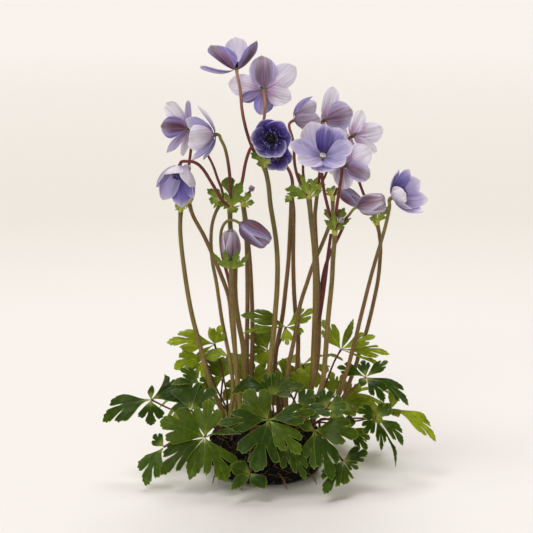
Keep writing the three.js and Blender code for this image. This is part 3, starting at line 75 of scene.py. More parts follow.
# Light of the studio: for each lamp, where it comes from, its spread in degrees, strength and colour
LAMPS = {
    "key": [(-0.8, -0.5, 2.0), 28, 1.15, (0.99, 0.98, 0.98)],
    "fill": [(-0.5, -1.9, 0.6), 45, 1.2, (0.98, 0.98, 1.0)],
    "back": [(0.1, 0.95, 1.75), 32, 2.1, (0.99, 0.99, 0.99)],
}
WORLD_COLOUR = "F6EAD6"
WORLD_STRENGTH = 0.33

# Floor: radius in metres, colours, and the distances over which one colour turns into the next. The middle
# colour is a darker, warmer band of painted shade, where the backdrop is dimmer
FLOOR_RADIUS = 14
FLOOR_SIDES = 96
FLOOR_NEAR = (0.725, 0.705, 0.69, 1.0)
FLOOR_SHADE_BAND = (0.655, 0.635, 0.595, 1.0)
FLOOR_FAR = (0.725, 0.705, 0.69, 1.0)
FLOOR_TO_SHADE_BAND = (0.6, 1.3)
FLOOR_TO_FAR = (1.7, 5.0)

# Places of the materials of a piece, in the order of its list
FRONT, BACK, STALK, HAIR = range(4)

# Tepals. A turn is in radians about the axis of the bloom, and a share counts from foot to tip
TEPAL_THICKNESS = 0.4
TEPAL_OUTER_SHIFT = -0.3
TEPAL_LAYER_STEP = 1.0
TEPAL_FOOT_REACH = 2.0
TEPAL_FOOT_TURN = 0.4
TEPAL_WIDEST_TURN = 0.95
TEPAL_SLIT_TURN = 0.02
TEPAL_OVERLAP_TURN = 0.16
TEPAL_WIDEST_SHARE = 0.62
TEPAL_ROUND_SPAN = 0.384
TEPAL_FULLNESS = 1.12
TEPAL_CREASE = -0.28
TEPAL_TUCK = 0.4
NARROW_TEPAL = 13
NARROW_TEPAL_SHIFT = 1.9
TEPAL_FINE_STEPS = 60
TEPAL_COLUMNS = 14
TEPAL_ROWS = [
    0, 0.05, 0.11, 0.18, 0.26, 0.34, 0.42, 0.50, 0.58, 0.66, 0.73, 0.79, 0.845, 0.89, 0.925, 0.955, 0.978,
    0.993, 1.0,
]
HEART_RADIUS = 1.9

# Eye of a bloom: carpels on a dome and the stamens around them
CARPEL_COUNT = 34
CARPEL_TURN = 2.39996
CARPEL_RADIUS = 0.32
LARGEST_DOME = 2.8
STAMENS_PER_MM = 15
STAMEN_TURNS = 3
STAMEN_SPACING = 1.6
FILAMENT_RADIUS = 0.15
ANTHER_RADIUS = 0.5
PALE_EYE_STAMENS = 12

# How much further out the stamens of these blooms stand
LONG_STAMENS = {"bloom_far_right": 5.5, "bloom_nodding": 4}

# Buds. The profile has the radius along a bud as a share of its widest, but for the tip, which may be open
BUD_PROFILE = [
    (0.0, 0.20), (0.08, 0.62), (0.18, 0.82), (0.30, 0.95), (0.42, 0.995), (0.52, 1.0), (0.64, 0.95),
    (0.76, 0.89),
]
BUD_ROWS = 15
BUD_COLUMNS = 10
BUD_TEPALS = 3
BUD_TEPAL_TURN = 1.08
BUD_CORE = 0.82
BEAD_OPENING = 0.15
BEAD_LENGTH = 1.3

# Leaflets and bracts. Fullness and reach say how much wider and longer they are than their tables say
LEAF_THICKNESS = 0.45
BRACT_THICKNESS = 0.45
LEAFLET_FOLD = 0.14
LEAFLET_ROLL = 0.15
LEAFLET_ROUND = 0.010
LEAFLET_ARCH = 1.4
LEAFLET_FULLNESS = 1.14
LEAFLET_OVERLAP = 1.12
LEAFLET_SLIT = 0.3
LEAST_ROOM = 0.15
LEAF_REACH = 1.05
REAR_LEAF_REACH = 1.24
# Leaves at the top and back of the mound get a paler yellow-green: partly the colour of young leaves, partly
# painted glow of the back light through them
YOUNG_AND_BACKLIT_SHARE = 0.75
YOUNG_AND_BACKLIT_LEAVES = (
    "leaf_right_far", "leaf_right_upper", "leaf_middle_upper", "leaf_left_upper", "leaf_back",
    "leaf_back_right",
)
REAR_LEAVES = ("leaf_back", "leaf_back_right", "leaf_front_stems")
BRACT_FULLNESS = 1.5
BRACT_ARCH = 0.08
BRACT_FACE = [0, -0.8, 0.6]
PLAIN_BRACT = 11

# Stalks. A limb that starts lower than SCAPE_START is a scape and rises from the ball. Hairs are given by how
# many there are for each millimetre and by their length
SCAPE_SIDES = 12
PEDICEL_SIDES = 10
PETIOLE_SIDES = 8
PETIOLE_RADIUS = 0.95
SCAPE_SPACING = 4
PEDICEL_SPACING = 1.3
PEDICEL_ROUNDING = 14
SCAPE_START = 80
SCAPE_RIBS = 0.03
SCAPE_HAIRS = (13, 1.3)
PEDICEL_HAIRS = (7, 0.9)
PETIOLE_HAIRS = (2.5, 1.1)
HAIR_RADIUS = 0.05
HAIR_SUNK = 0.12
HAIR_CORNERS = (0, 2.09, 4.19)
WHORL_RADIUS = 2.3
NODE_GAP = 0.2
BLOOM_BACK = 1.0
BLOOM_NECK = 6
BUD_NECK = 4
FOOT_BOTTOM = 30
FOOT_TOP = 46
WHORL = "whorl"

# Height where a scape begins to lean back or forward, and where its lean is full
LEAN_START = 46
LEAN_HEIGHT = 250
LEAN_POWER = 1.3

# Root ball. Its profile is in shares of the radius and in heights. The skin runs from the middle of the
# underside, share 0, over the foot and the shoulder of the ball to the middle of its top, share 1
BALL_RADIUS = 45
BALL_PROFILE = [
    [0.80, 0], [0.93, 4], [1.0, 13], [1.0, 24], [0.98, 33], [0.90, 39], [0.60, 41.5], [0.0, 42.5],
]
BALL_FOOT_SHARE = 0.1
BALL_SHOULDER_SHARE = 0.62
BALL_SHOULDER = 40
BALL_DOME = 2.3
BALL_TURNS = 120
BALL_ROWS = 52
CRUMB_COUNT = 1500
ROOTY_CRUMBS = 0.04
FINE_ROOT_COUNT = 170

# Edges between faces that turn by more than these degrees stay sharp
SHARP_ANGLE = 50
SOIL_SHARP_ANGLE = 60

# Scales of streaks: on a tepal across, along and from tepal to tepal, and on a stalk in the three directions
TEPAL_BROAD_STREAKS = (0.46, 0.035, 40)
TEPAL_FINE_STREAKS = (1.6, 0.07, 90)
STALK_STREAKS = (1400, 1400, 55)
STALK_PATCHES = (90, 90, 40)

# Side veins of a leaflet: half the gap between two, how far they slant, and how much lighter veins are
VEIN_HALF_GAP = 1.45
VEIN_SLANT = 1.25
VEIN_TINT = (2.1, 1.75, 1.5, 1.0)

# How a tepal is coloured: violet inside, brown on its back, blue at its edges, paleness, breadth of its rim
STYLES = {
    "deep": [1.0, 0.4, 0.6, 0.0, 0.05], "rimmed": [1.0, 0.2, 0.5, 0.1, 0.34],
    "violet": [0.86, 0.35, 0.7, 0.0, 0.2], "dark": [0.8, 1.0, 0.75, 0.0, 0.12],
    "rose": [0.6, 0.75, 0.3, 0.1, 0.15], "smoky": [0.6, 0.5, 0.3, 0.15, 0.2],
    "brown": [0.6, 0.9, 0.15, 0.05, 0.15], "blue": [0.7, 0.15, 0.9, 0.0, 0.2],
    "lilac": [0.42, 0.2, 0.45, 0.15, 0.22], "pink": [0.28, 0.3, 0.15, 0.5, 0.22],
    "pale": [0.18, 0.1, 0.1, 0.9, 0.2], "white": [0.0, 0.0, 0.0, 1.0, 0.2],
}

# Style of each tepal, in the order of its bloom's table, and the one style of each bud
TEPAL_STYLES = {
    "bloom_top": ["blue", "dark", "dark", "pale", "lilac", "pale"],
    "bloom_upper": ["rose", "pale", "pale", "white", "blue", "blue", "pale"],
    "bloom_dark_eye": ["deep", "deep", "deep", "rimmed", "rimmed", "rimmed"],
    "bloom_low_cup": ["deep", "deep", "deep", "deep", "rimmed", "rimmed"],
    "bloom_half_open": ["blue", "blue", "blue", "smoky", "smoky", "smoky"],
    "bloom_upper_right": ["pale", "rose", "pale", "pale", "lilac"],
    # bloom_bowl's last, narrow tepal is painted deep violet: partly its own colour, partly painted shade of
    # the upper middle of the bowl
    "bloom_bowl": ["lilac", "pink", "blue", "lilac", "lilac", "lilac", "pink", "violet"],
    "bloom_right": ["white", "pale", "pale", "white", "pale"],
    "bloom_right_low": ["pale", "pale", "rose", "pink", "white", "pale"],
    "bloom_far_right": ["rose", "blue", "lilac", "lilac", "lilac", "smoky", "white"],
    "bloom_left": ["pale", "lilac", "white", "dark", "lilac", "pale"],
    "bloom_left_cup": ["pale", "pale", "lilac", "pale", "lilac", "blue"],
    "bloom_nodding": ["violet", "lilac", "blue", "rose", "pale", "white"],
}
BUD_STYLES = {"bud_striped": "dark", "bud_parting": "brown", "bud_nodding": "dark", "bud_upright": "brown"}

# How far each scape goes from olive, 0, to reddish brown, 1
STEM_TONES = {
    "stem_far_left": 0.1, "stem_left": 0.8, "stem_thin_left": 0.2, "stem_left_middle": 0.4,
    "stem_buds_left": 0.2, "stem_middle": 0.7, "stem_tall": 0.05, "stem_pair_centre": 0.9,
    "stem_right_middle": 0.35, "stem_right_back": 0.8, "stem_front_right": 0.15, "stem_leaning": 0.6,
    "stem_far_right": 0.7,
}

# How pale or how olive the pedicels of these blooms and buds become; the others stay maroon
PALE_PEDICELS = {"bloom_top": 0.9, "bloom_upper": 1.0, "bloom_low_cup": 0.6, "bloom_half_open": 0.3}
OLIVE_PEDICELS = {"bloom_left_cup": 1.0, "bud_nodding": 1.0, "bud_parting": 1.0, "bloom_far_right": 0.8}

# Outline of one side of a leaflet: along, and out as a share of half the width
OUTLINES = {
    "cut": [
        [0.03, 0.04], [0.1, 0.1], [0.18, 0.23], [0.27, 0.44], [0.36, 0.69], [0.45, 0.88], [0.53, 0.99],
        [0.6, 1.02], [0.615, 0.9], [0.665, 0.93], [0.72, 0.9], [0.725, 0.76], [0.77, 0.66], [0.745, 0.53],
        [0.68, 0.41], [0.6, 0.3], [0.52, 0.2], [0.61, 0.22], [0.68, 0.28], [0.75, 0.35], [0.81, 0.4],
        [0.87, 0.4], [0.875, 0.3], [0.92, 0.31], [0.945, 0.26], [0.945, 0.17], [0.975, 0.11]],
    "broad": [
        [0.03, 0.04], [0.1, 0.12], [0.18, 0.28], [0.27, 0.51], [0.37, 0.75], [0.47, 0.92], [0.56, 1.0],
        [0.63, 0.99], [0.645, 0.9], [0.7, 0.91], [0.75, 0.85], [0.755, 0.72], [0.79, 0.64], [0.765, 0.53],
        [0.71, 0.43], [0.64, 0.31], [0.72, 0.33], [0.79, 0.39], [0.85, 0.42], [0.9, 0.41], [0.905, 0.31],
        [0.945, 0.3], [0.965, 0.24], [0.965, 0.14], [0.985, 0.1]],
    "slim": [
        [0.03, 0.06], [0.12, 0.26], [0.22, 0.52], [0.34, 0.8], [0.46, 0.96], [0.57, 1.0], [0.66, 0.94],
        [0.67, 0.8], [0.74, 0.82], [0.8, 0.72], [0.805, 0.56], [0.86, 0.54], [0.9, 0.42], [0.905, 0.28],
        [0.95, 0.22]],
    "bract": [
        [0.03, 0.16], [0.12, 0.28], [0.24, 0.44], [0.36, 0.68], [0.48, 0.92], [0.56, 1.0], [0.6, 0.94],
        [0.57, 0.66], [0.54, 0.42], [0.62, 0.46], [0.7, 0.6], [0.77, 0.62], [0.775, 0.44], [0.84, 0.46],
        [0.88, 0.34], [0.885, 0.2], [0.95, 0.14]],
    "plain": [
        [0.03, 0.3], [0.15, 0.62], [0.3, 0.88], [0.45, 1.0], [0.6, 0.98], [0.75, 0.84], [0.87, 0.58],
        [0.95, 0.3]],
}

# Scapes: foot on the ball, lean, limbs with their first and last radius and their points, the whorl, and
# its bracts with tip, width and sometimes the way they face. WHORL stands for the whorl's own point
STEMS = [
    {"name": "stem_far_left", "foot": [-35, 2], "lean": 8, "limbs": [
        {"r": [2.0, 1.6],
         "at": [[-44.6, 73, -1], [-53.2, 105, -2], [-59.6, 129, -2], [-65.2, 161, 0], [-69, 196, 2], WHORL]},
        {"r": [1.2, 1.0], "bead": 2.6, "at": [WHORL, [-67, 226, 8], [-64.4, 239, 9], [-63.6, 246, 8]]}],
     "whorl": [-68.6, 213, 3], "bracts": [[[-73, 218, 1], 4.5], [[-65.4, 219, 1], 4.5]]},
    {"name": "stem_left", "foot": [-25, 7], "lean": 24, "limbs": [
        {"r": [1.9, 1.5], "at": [
            [-22.6, 62, 8], [-23.4, 85, 7], [-25.8, 105, 6], [-28, 125, 4], [-30, 143, 1], [-36.4, 161, 1],
            [-43, 177, 3], [-50.3, 193, 6], [-59, 209, 10], WHORL]},
        {"r": [1.3, 1.1], "bloom": "bloom_left",
         "at": [WHORL, [-63, 236, 16], [-61.6, 252, 18], [-60, 265, 18]]}],
     "whorl": [-62, 219, 13], "bracts": [[[-68, 215, 13], 4], [[-58, 223, 8], 5]]},
    {"name": "stem_thin_left", "foot": [-30, -9], "lean": 34, "limbs": [
        {"r": [1.6, 1.3], "at": [
            [-26.8, 68, -5], [-29.2, 93, 0], [-32.4, 109, 5], [-35.6, 125, 7], [-38, 141, 8],
            [-40.4, 157, 8], [-43.2, 171, 8], [-44.4, 188, 8], [-43.4, 202, 9], [-39.8, 213, 9], WHORL]},
        {"r": [1.2, 1.0], "bead": 2.6, "at": [
            WHORL, [-34.8, 227, 9], [-38.8, 237, 8], [-42.8, 249, 9], [-47.6, 258, 13], [-51, 264, 17]]}],
     "whorl": [-36, 219, 9],
     "bracts": [[[-47.6, 230, 7], 7], [[-46, 222, 5], 9], [[-41, 231, 10], 5], [[-32, 227, 12], 6]]},
    {"name": "stem_left_middle", "foot": [-14, -1], "lean": -26, "limbs": [
        {"r": [2.2, 1.8], "at": [
            [-16, 65, -1], [-17.6, 85, -1], [-18.8, 105, -1], [-22, 121, -1], [-24.4, 137, -1],
            [-25.2, 150, -1], [-25.2, 171, -1], [-27.6, 189, 0], [-29, 201, 0], WHORL]},
        {"r": [1.4, 1.2], "bloom": "bloom_nodding", "at": [
            WHORL, [-35.6, 221, -6], [-40.4, 229, -9], [-45.2, 237, -11], [-50.8, 246, -12], [-56, 251, -12],
            [-61.2, 252.6, -12], [-65.6, 251.4, -12]]},
        {"r": [1.4, 1.2], "bloom": "bloom_left_cup", "at": [
            WHORL, [-28.8, 233, 0], [-30, 246, 0], [-31.6, 256, 0], [-34.5, 266.5, 0], [-38.4, 271.6, 0]]},
        {"r": [1.4, 1.2], "bloom": "bloom_dark_eye", "at": [
            WHORL, [-23.6, 222, 2], [-19.2, 237, 6], [-17.2, 249, 9], [-13.6, 261, 11], [-9, 267.6, 13]]}],
     "whorl": [-29.2, 215, 0], "bracts": [
        [[-30, 240, 7], 12, [0, -1, 0.2]], [[-20, 236, 4], 9, [0, -1, 0.2]], [[-39.6, 219, -7], 5],
        [[-24, 211, -8], 7], [[-33, 227, -4], 4]]},
    {"name": "stem_buds_left", "foot": [-20, -15], "lean": -30, "limbs": [
        {"r": [2.0, 1.6], "bud": "bud_upright", "at": [
            [-21.6, 62, -14], [-23.6, 81, -13], [-25.2, 101, -12], [-26, 117, -12], [-27.6, 141, -12],
            [-28.4, 155, -12], [-28.4, 168, -12]]},
        {"r": [1.5, 1.1], "bud": "bud_nodding", "at": [
            [-27.2, 130, -12], [-28.4, 147, -9], [-31.2, 161, -5], [-34.6, 173, -3], [-36.6, 185, -1],
            [-36.8, 193, -1], [-34.8, 201, -3], [-30.8, 205.2, -5], [-26.4, 205.6, -7]]}],
     "whorl": [-28.4, 165.6, -12], "bracts": [
        [[-43, 179, -15], 4, [-0.35, -0.9, -0.2]], [[-14, 178, -14], 4, [0.35, -0.9, -0.2]],
        [[-33.4, 181.6, -23], 5, [-0.3, -0.95, -0.25]], [[-23.4, 181.6, -23.4], 5, [0.3, -0.95, -0.25]]]},
    {"name": "stem_middle", "foot": [-8, 12], "lean": 26, "limbs": [
        {"r": [1.9, 1.5], "at": [
            [-13.6, 62, 8], [-15.6, 81, 4], [-15.6, 109, 3], [-15.2, 141, 4], [-15.6, 173, 5],
            [-16.4, 193, 6], [-17.6, 205, 7], WHORL]},
        {"r": [1.9, 1.5], "at": [
            [-10.4, 62, 14], [-11.6, 81, 16], [-11.2, 113, 17], [-11.4, 132, 17], [-12, 149, 16],
            [-13.2, 171, 15], [-14.8, 189, 13], [-16, 203, 11], WHORL]},
        {"r": [1.0, 0.8], "bead": 2.0, "at": [WHORL, [-15.6, 225, 8], [-12, 230, 8]]}],
     "whorl": [-18.6, 217, 8], "bracts": [[[-9.6, 219, 5], 6], [[-12.8, 228, 8], 6], [[-21.4, 225, 6], 4]]},
    {"name": "stem_tall", "foot": [2, -7], "lean": -4, "limbs": [
        {"r": [2.2, 1.7], "at": [
            [1.8, 62, -8], [2.4, 85, -9], [4, 101, -9], [6, 117, -9], [7.2, 133, -9], [8.4, 149, -8],
            [8.8, 171, -7], [7.6, 189, -5], [5.2, 205, -4], [3.2, 217, -3], [1.6, 233, -1], [-0.4, 243, 1],
            WHORL]},
        {"r": [1.4, 1.2], "bloom": "bloom_top", "at": [
            WHORL, [-10, 259.6, 1], [-12.6, 266, 1], [-15.6, 274.6, 1], [-19.6, 293, 2], [-21.2, 312, 3]]},
        {"r": [1.3, 1.1], "bloom": "bloom_upper",
         "at": [WHORL, [-6.6, 256, 10], [-6, 268, 22], [-2.4, 283, 15], [-1.2, 298, -3]]}],
     "whorl": [-2, 248, 2], "bracts": [[[-12.4, 259, -4], 8], [[-8, 250, -5], 5], [[3, 254, 8], 4]]},
    {"name": "stem_pair_centre", "foot": [10, 8], "lean": 30, "limbs": [
        {"r": [1.9, 1.5], "at": [
            [9.2, 62, 8], [6.8, 89, 8], [8.4, 105, 8], [10.8, 117, 8], [13.2, 131, 8], [15.2, 149, 7],
            [17.6, 173, 7], [18.8, 196, 7], WHORL]},
        {"r": [1.5, 1.2], "bloom": "bloom_low_cup",
         "at": [WHORL, [21, 233, 13], [19.4, 242, 20], [14.6, 250, 25]]},
        {"r": [1.9, 1.5], "at": [
            [15, 62, 8], [24, 85, 8], [25.2, 99, 10], [25.2, 113, 12], [23.2, 131, 12], [22, 149, 10],
            [21.4, 173, 8], [21.6, 197, 5], [21.6, 214, 5], WHORL]}],
     "whorl": [20, 224, 8], "bracts": [[[15, 219, 1], 4], [[26, 231, 10], 5]]},
    {"name": "stem_right_middle", "foot": [25, -3], "lean": -6, "limbs": [
        {"r": [2.4, 1.9], "at": [
            [33, 60, -3], [36.6, 77, -3], [38, 105, -3], [38.8, 125, -3], [39.2, 149, -3], [38.8, 173, -3],
            [37.5, 190, -3], [35.6, 206.6, -3], WHORL]},
        {"r": [1.3, 1.1], "bloom": "bloom_half_open", "at": [
            WHORL, [29.2, 229.4, -2], [25.2, 238.6, -1], [22.4, 250, 1], [22, 262, 6], [20.6, 272, 12],
            [18, 279, 15]]},
        {"r": [1.3, 1.0], "bead": 2.6,
         "at": [WHORL, [32, 228, 2], [30, 237, 5], [29, 246, 8], [29.6, 252, 9]]}],
     "whorl": [34, 222.6, -2], "bracts": [
        [[14.8, 230, -3], 9], [[16, 226, -7], 5], [[25.4, 243, 2], 5], [[33.4, 235, 4], 5],
        [[44.5, 229, 0], 4], [[41, 240, 2], 4]]},
    {"name": "stem_right_back", "foot": [29, 13], "lean": 32, "limbs": [
        {"r": [2.0, 1.5], "at": [
            [33, 62, 12], [39.6, 85, 11], [41.4, 101, 10], [42, 117, 10], [42.2, 137, 10], [41, 161, 10.5],
            [40, 180, 10.5], [39.2, 197, 9], [38.8, 209, 8], [40, 221, 8], WHORL]},
        {"r": [1.4, 1.1], "bloom": "bloom_upper_right",
         "at": [WHORL, [42.8, 244, 11], [43.8, 261, 13], [43.4, 273, 12]]},
        {"r": [1.2, 0.9], "bead": 2.4, "at": [WHORL, [45.4, 237, 6], [48.4, 244, 7], [50.4, 250, 8]]},
        {"r": [1.7, 1.3],
         "at": [[41.8, 124, 10], [44.6, 141, 9], [47, 158, 9], [49.6, 180, 8], [51.6, 194, 8]]},
        {"r": [1.7, 1.3], "at": [
            [41.8, 127, 10], [43.2, 145, 13], [46.8, 167, 14], [50.8, 178, 14], [56.4, 189, 12],
            [61.6, 200, 9]]}],
     "whorl": [40.8, 230, 8], "bracts": [[[47, 233.6, 3], 4], [[33, 238, 12], 4]]},
    {"name": "stem_front_right", "foot": [31, -12], "lean": -36, "limbs": [
        {"r": [2.1, 1.7], "at": [
            [39, 58, -10], [44.8, 75, -8], [46.8, 93, -7], [48, 109, -7], [49.2, 125, -7], [50.8, 141, -7],
            [52.4, 157, -6], [53.2, 173, -5], [54.4, 189, -4], WHORL]},
        {"r": [1.4, 1.2], "bloom": "bloom_bowl",
         "at": [WHORL, [51.6, 206, -5], [47.6, 221, -5], [45.2, 233, -4], [44.2, 243, -3.5]]},
        {"r": [1.4, 1.2], "bloom": "bloom_right_low", "at": [
            WHORL, [55.4, 207, -6], [55.8, 213, -7], [57.6, 225, -9], [59.4, 236, -11], [60.6, 245, -11]]},
        {"r": [1.2, 1.0], "bud": "bud_parting",
         "at": [WHORL, [58.8, 201, -6], [62.8, 205.8, -8], [68, 211, -10]]},
        {"r": [0.9, 0.8], "bead": 1.9, "at": [WHORL, [56.6, 202, -8], [59.6, 204.6, -11]]}],
     "whorl": [54.6, 195.6, -4], "bracts": [
        [[46.8, 214, -4], 9], [[46, 205.4, -9], 4], [[62.4, 215, -2], 10], [[67.6, 206.6, -9], 5],
        [[53, 212, -8], 4]]},
    {"name": "stem_leaning", "foot": [17, -16], "lean": 4, "limbs": [
        {"r": [1.8, 1.4], "at": [
            [15.6, 62, -15], [17.2, 86, -12], [19, 95, -9], [22, 109, -4], [24.4, 121, 0], [26, 133, 2],
            [28.4, 142.6, 3], [33.2, 157, 3.8], [36.4, 167, 4], [40.4, 176.4, 4.2], [45.2, 187.4, 4],
            [50, 200, 3], [52.8, 211, 3], WHORL]},
        {"r": [1.0, 0.9], "bud": "bud_striped", "at": [WHORL, [55.6, 227, 0]]}],
     "whorl": [53, 223, 2], "bracts": [[[48.4, 231, 5], 5], [[54, 233, 7], 5], [[58, 231.6, 5], 4]]},
    {"name": "stem_far_right", "foot": [39, 5], "lean": 14, "limbs": [
        {"r": [1.8, 1.3], "bloom": "bloom_far_right", "at": [
            [47, 54, 0], [57.2, 63.4, -4], [61.2, 75.4, -5], [65.2, 87, -6], [68.4, 99.4, -6],
            [71.6, 111, -6], [74.8, 125, -6], [78.8, 141, -6], [82.8, 157, -6], [86.8, 171.4, -6],
            [90.8, 185, -6], [94.8, 198.6, -5], [97.4, 210, -4], [99, 219, -3]]},
        {"r": [1.8, 1.4], "at": [
            [53, 56, 5], [62, 64, 6], [67, 77, 8], [71.6, 89, 9], [74.8, 101, 10], [79.6, 115, 10],
            [82.8, 127, 9], [86, 141, 6], [89.2, 157, 4], [90.8, 173, 3], [91.2, 185, 3], [90, 195.4, 3],
            WHORL]},
        {"r": [1.2, 1.1], "bloom": "bloom_right", "at": [
            WHORL, [84.4, 211, 4], [81, 218.6, 5], [78, 225, 6], [75.6, 231.4, 7], [73.2, 238.6, 9],
            [70.6, 252, 11], [66.4, 262, 9.6]]}],
     "whorl": [88.4, 203, 3],
     "bracts": [[[93.4, 225, 0], 7], [[97.4, 216, -3], 6], [[82.4, 207, -1], 4], [[84.4, 215, 0], 5]]},
]

# Blooms: middle, the way they face, radius of the eye, and tepals with turn in degrees, length, width,
# slope in degrees at foot and tip, and layer, 0 for the outer one
BLOOMS = [
    {"name": "bloom_top", "at": [-24, 326, 4], "faces": [-0.1, 0.22, 0.95], "eye": 3.2,
     "tepals": [
        [190, 28, 17, 116, 50, 0], [226, 29, 25, 74, 30, 0], [330, 28, 16, 74, 22, 0],
        [84, 32, 20, 60, 2, 1], [150, 26, 13, 68, 20, 0], [38, 27, 13, 66, 14, 0]]},
    {"name": "bloom_upper", "at": [-2, 309, 8], "faces": [-0.02, 0.93, 0.3], "eye": 4.4,
     "tepals": [
        [93, 26, 21, 88, 74, 0], [177, 27, 20, 86, 70, 1], [31, 29, 20, 86, 70, 1], [334, 22, 16, 88, 74, 0],
        [270, 21, 15, 88, 74, 0], [210, 20, 9, 88, 74, 0], [304, 18, 10, 86, 68, 1]]},
    {"name": "bloom_dark_eye", "at": [3.6, 270.2, 3], "faces": [0.0, -0.98, 0.1], "eye": 7.6,
     "tepals": [
        [0, 19, 21, 86, 20, 0], [60, 19, 21, 86, 20, 1], [120, 19, 21, 86, 20, 0], [180, 19, 21, 86, 20, 1],
        [240, 18.5, 21, 86, 20, 0], [300, 18.5, 21, 86, 20, 1]]},
    {"name": "bloom_low_cup", "at": [8.4, 255.6, 18], "faces": [0.04, -0.95, 0.2], "eye": 4.4,
     "tepals": [
        [0, 13, 14, 84, 30, 0], [60, 13, 14, 84, 30, 1], [120, 13, 14, 84, 30, 0], [180, 13, 14, 84, 30, 1],
        [240, 14, 14, 84, 30, 0], [300, 14, 14, 84, 30, 1]]},
    {"name": "bloom_half_open", "at": [22.8, 285, 15], "faces": [0.92, 0.06, 0.3], "eye": 3.0,
     "tepals": [
        [90, 25, 19, 84, -14, 0], [150, 24, 19, 84, -14, 1], [210, 24, 19, 84, -14, 0],
        [270, 25, 19, 84, -14, 1], [330, 25, 20, 84, -14, 0], [30, 25, 19, 84, -14, 1]]},
    {"name": "bloom_upper_right", "at": [46.8, 285, 14], "faces": [0.72, 0.66, 0.1], "eye": 4.2,
     "tepals": [
        [84, 27, 20, 84, 48, 1], [10, 25, 24, 84, 52, 0], [306, 21, 15, 82, 46, 1], [245, 18, 14, 84, 40, 0],
        [165, 16, 13, 80, 20, 1]]},
    {"name": "bloom_bowl", "at": [44.9, 255, -8], "faces": [0.02, -0.66, 0.75], "eye": 0,
     "tepals": [
        [168, 26, 19, 84, 56, 1], [112, 29, 24, 83, 52, 0], [62, 26, 22, 83, 52, 0], [14, 23, 19, 84, 56, 1],
        [318, 22, 18, 83, 52, 1], [270, 21, 18, 84, 56, 0], [222, 24, 20, 83, 52, 1],
        [88, 25, 12, 85, 60, 1]]},
    {"name": "bloom_right", "at": [69.4, 272.4, 12], "faces": [0.72, 0.62, 0.1], "eye": 4.2,
     "tepals": [
        [70, 20.5, 16, 84, 58, 0], [145, 17, 14, 80, 36, 1], [212, 20, 15, 84, 44, 0],
        [316, 22, 10, 84, 58, 0], [2, 24.5, 17, 80, 46, 1]]},
    {"name": "bloom_right_low", "at": [62.6, 248.6, 2], "faces": [0.45, 0.87, 0.05], "eye": 4.4,
     "tepals": [
        [84, 19, 13, 87, 74, 0], [31, 22, 20, 85, 66, 1], [334, 20, 15, 87, 72, 0], [252, 18, 16, 87, 74, 0],
        [198, 17, 13, 84, 62, 1], [140, 18, 13, 84, 62, 1]]},
    {"name": "bloom_far_right", "at": [101.6, 223.4, -2], "faces": [0.8, -0.42, 0.42], "eye": 4.2,
     "tepals": [
        [106, 23, 12, 84, 18, 0], [66, 25, 16, 82, 14, 1], [22, 28, 18, 84, 18, 0], [336, 28, 16, 82, 14, 1],
        [298, 26, 15, 84, 18, 0], [252, 21, 14, 82, 16, 1], [196, 23, 15, 74, 0, 0]]},
    {"name": "bloom_left", "at": [-63.2, 278.4, 19], "faces": [-0.78, 0.58, 0.06], "eye": 4.2,
     "tepals": [
        [0, 27, 17, 80, 28, 1], [90, 21, 7, 86, 74, 0], [131, 26, 16, 82, 50, 1], [184, 24, 18, 84, 54, 0],
        [238, 25, 9, 84, 58, 0], [292, 24, 13, 84, 62, 0]]},
    {"name": "bloom_left_cup", "at": [-41.8, 273.4, 0], "faces": [-0.92, -0.34, -0.04], "eye": 4.0,
     "tepals": [
        [352, 30, 23, 66, -2, 1], [70, 27, 13, 86, 34, 0], [126, 25, 17, 80, 8, 1], [194, 25, 17, 82, 14, 0],
        [256, 26, 15, 80, 10, 1], [302, 25, 12, 82, 26, 0]]},
    {"name": "bloom_nodding", "at": [-69.6, 247.4, -12], "faces": [-0.12, -0.55, -0.83], "eye": 4.0,
     "tepals": [
        [270, 33, 18, 76, -6, 0], [214, 29, 18, 74, -8, 1], [326, 28, 18, 74, -8, 1],
        [155, 26, 18, 78, -4, 0], [25, 26, 17, 78, -6, 0], [90, 20, 18, 80, 20, 1]]},
]

# Buds: both ends, widest radius, and how far the tip is open
BUDS = [
    {"name": "bud_striped", "base": [58.6, 229.4, -2], "tip": [74.4, 218.4, -6], "radius": 5.6, "part": 0.1},
    {"name": "bud_parting", "base": [73.4, 215.6, -12], "tip": [94.6, 219.4, -16], "radius": 8.0,
     "part": 0.42},
    {"name": "bud_nodding", "base": [-20.6, 202, -8.6], "tip": [1.4, 187, -12], "radius": 8.6, "part": 0.2},
    {"name": "bud_upright", "base": [-28.4, 172.6, -12], "tip": [-29.2, 196.4, -13], "radius": 7.4,
     "part": 0.12},
]

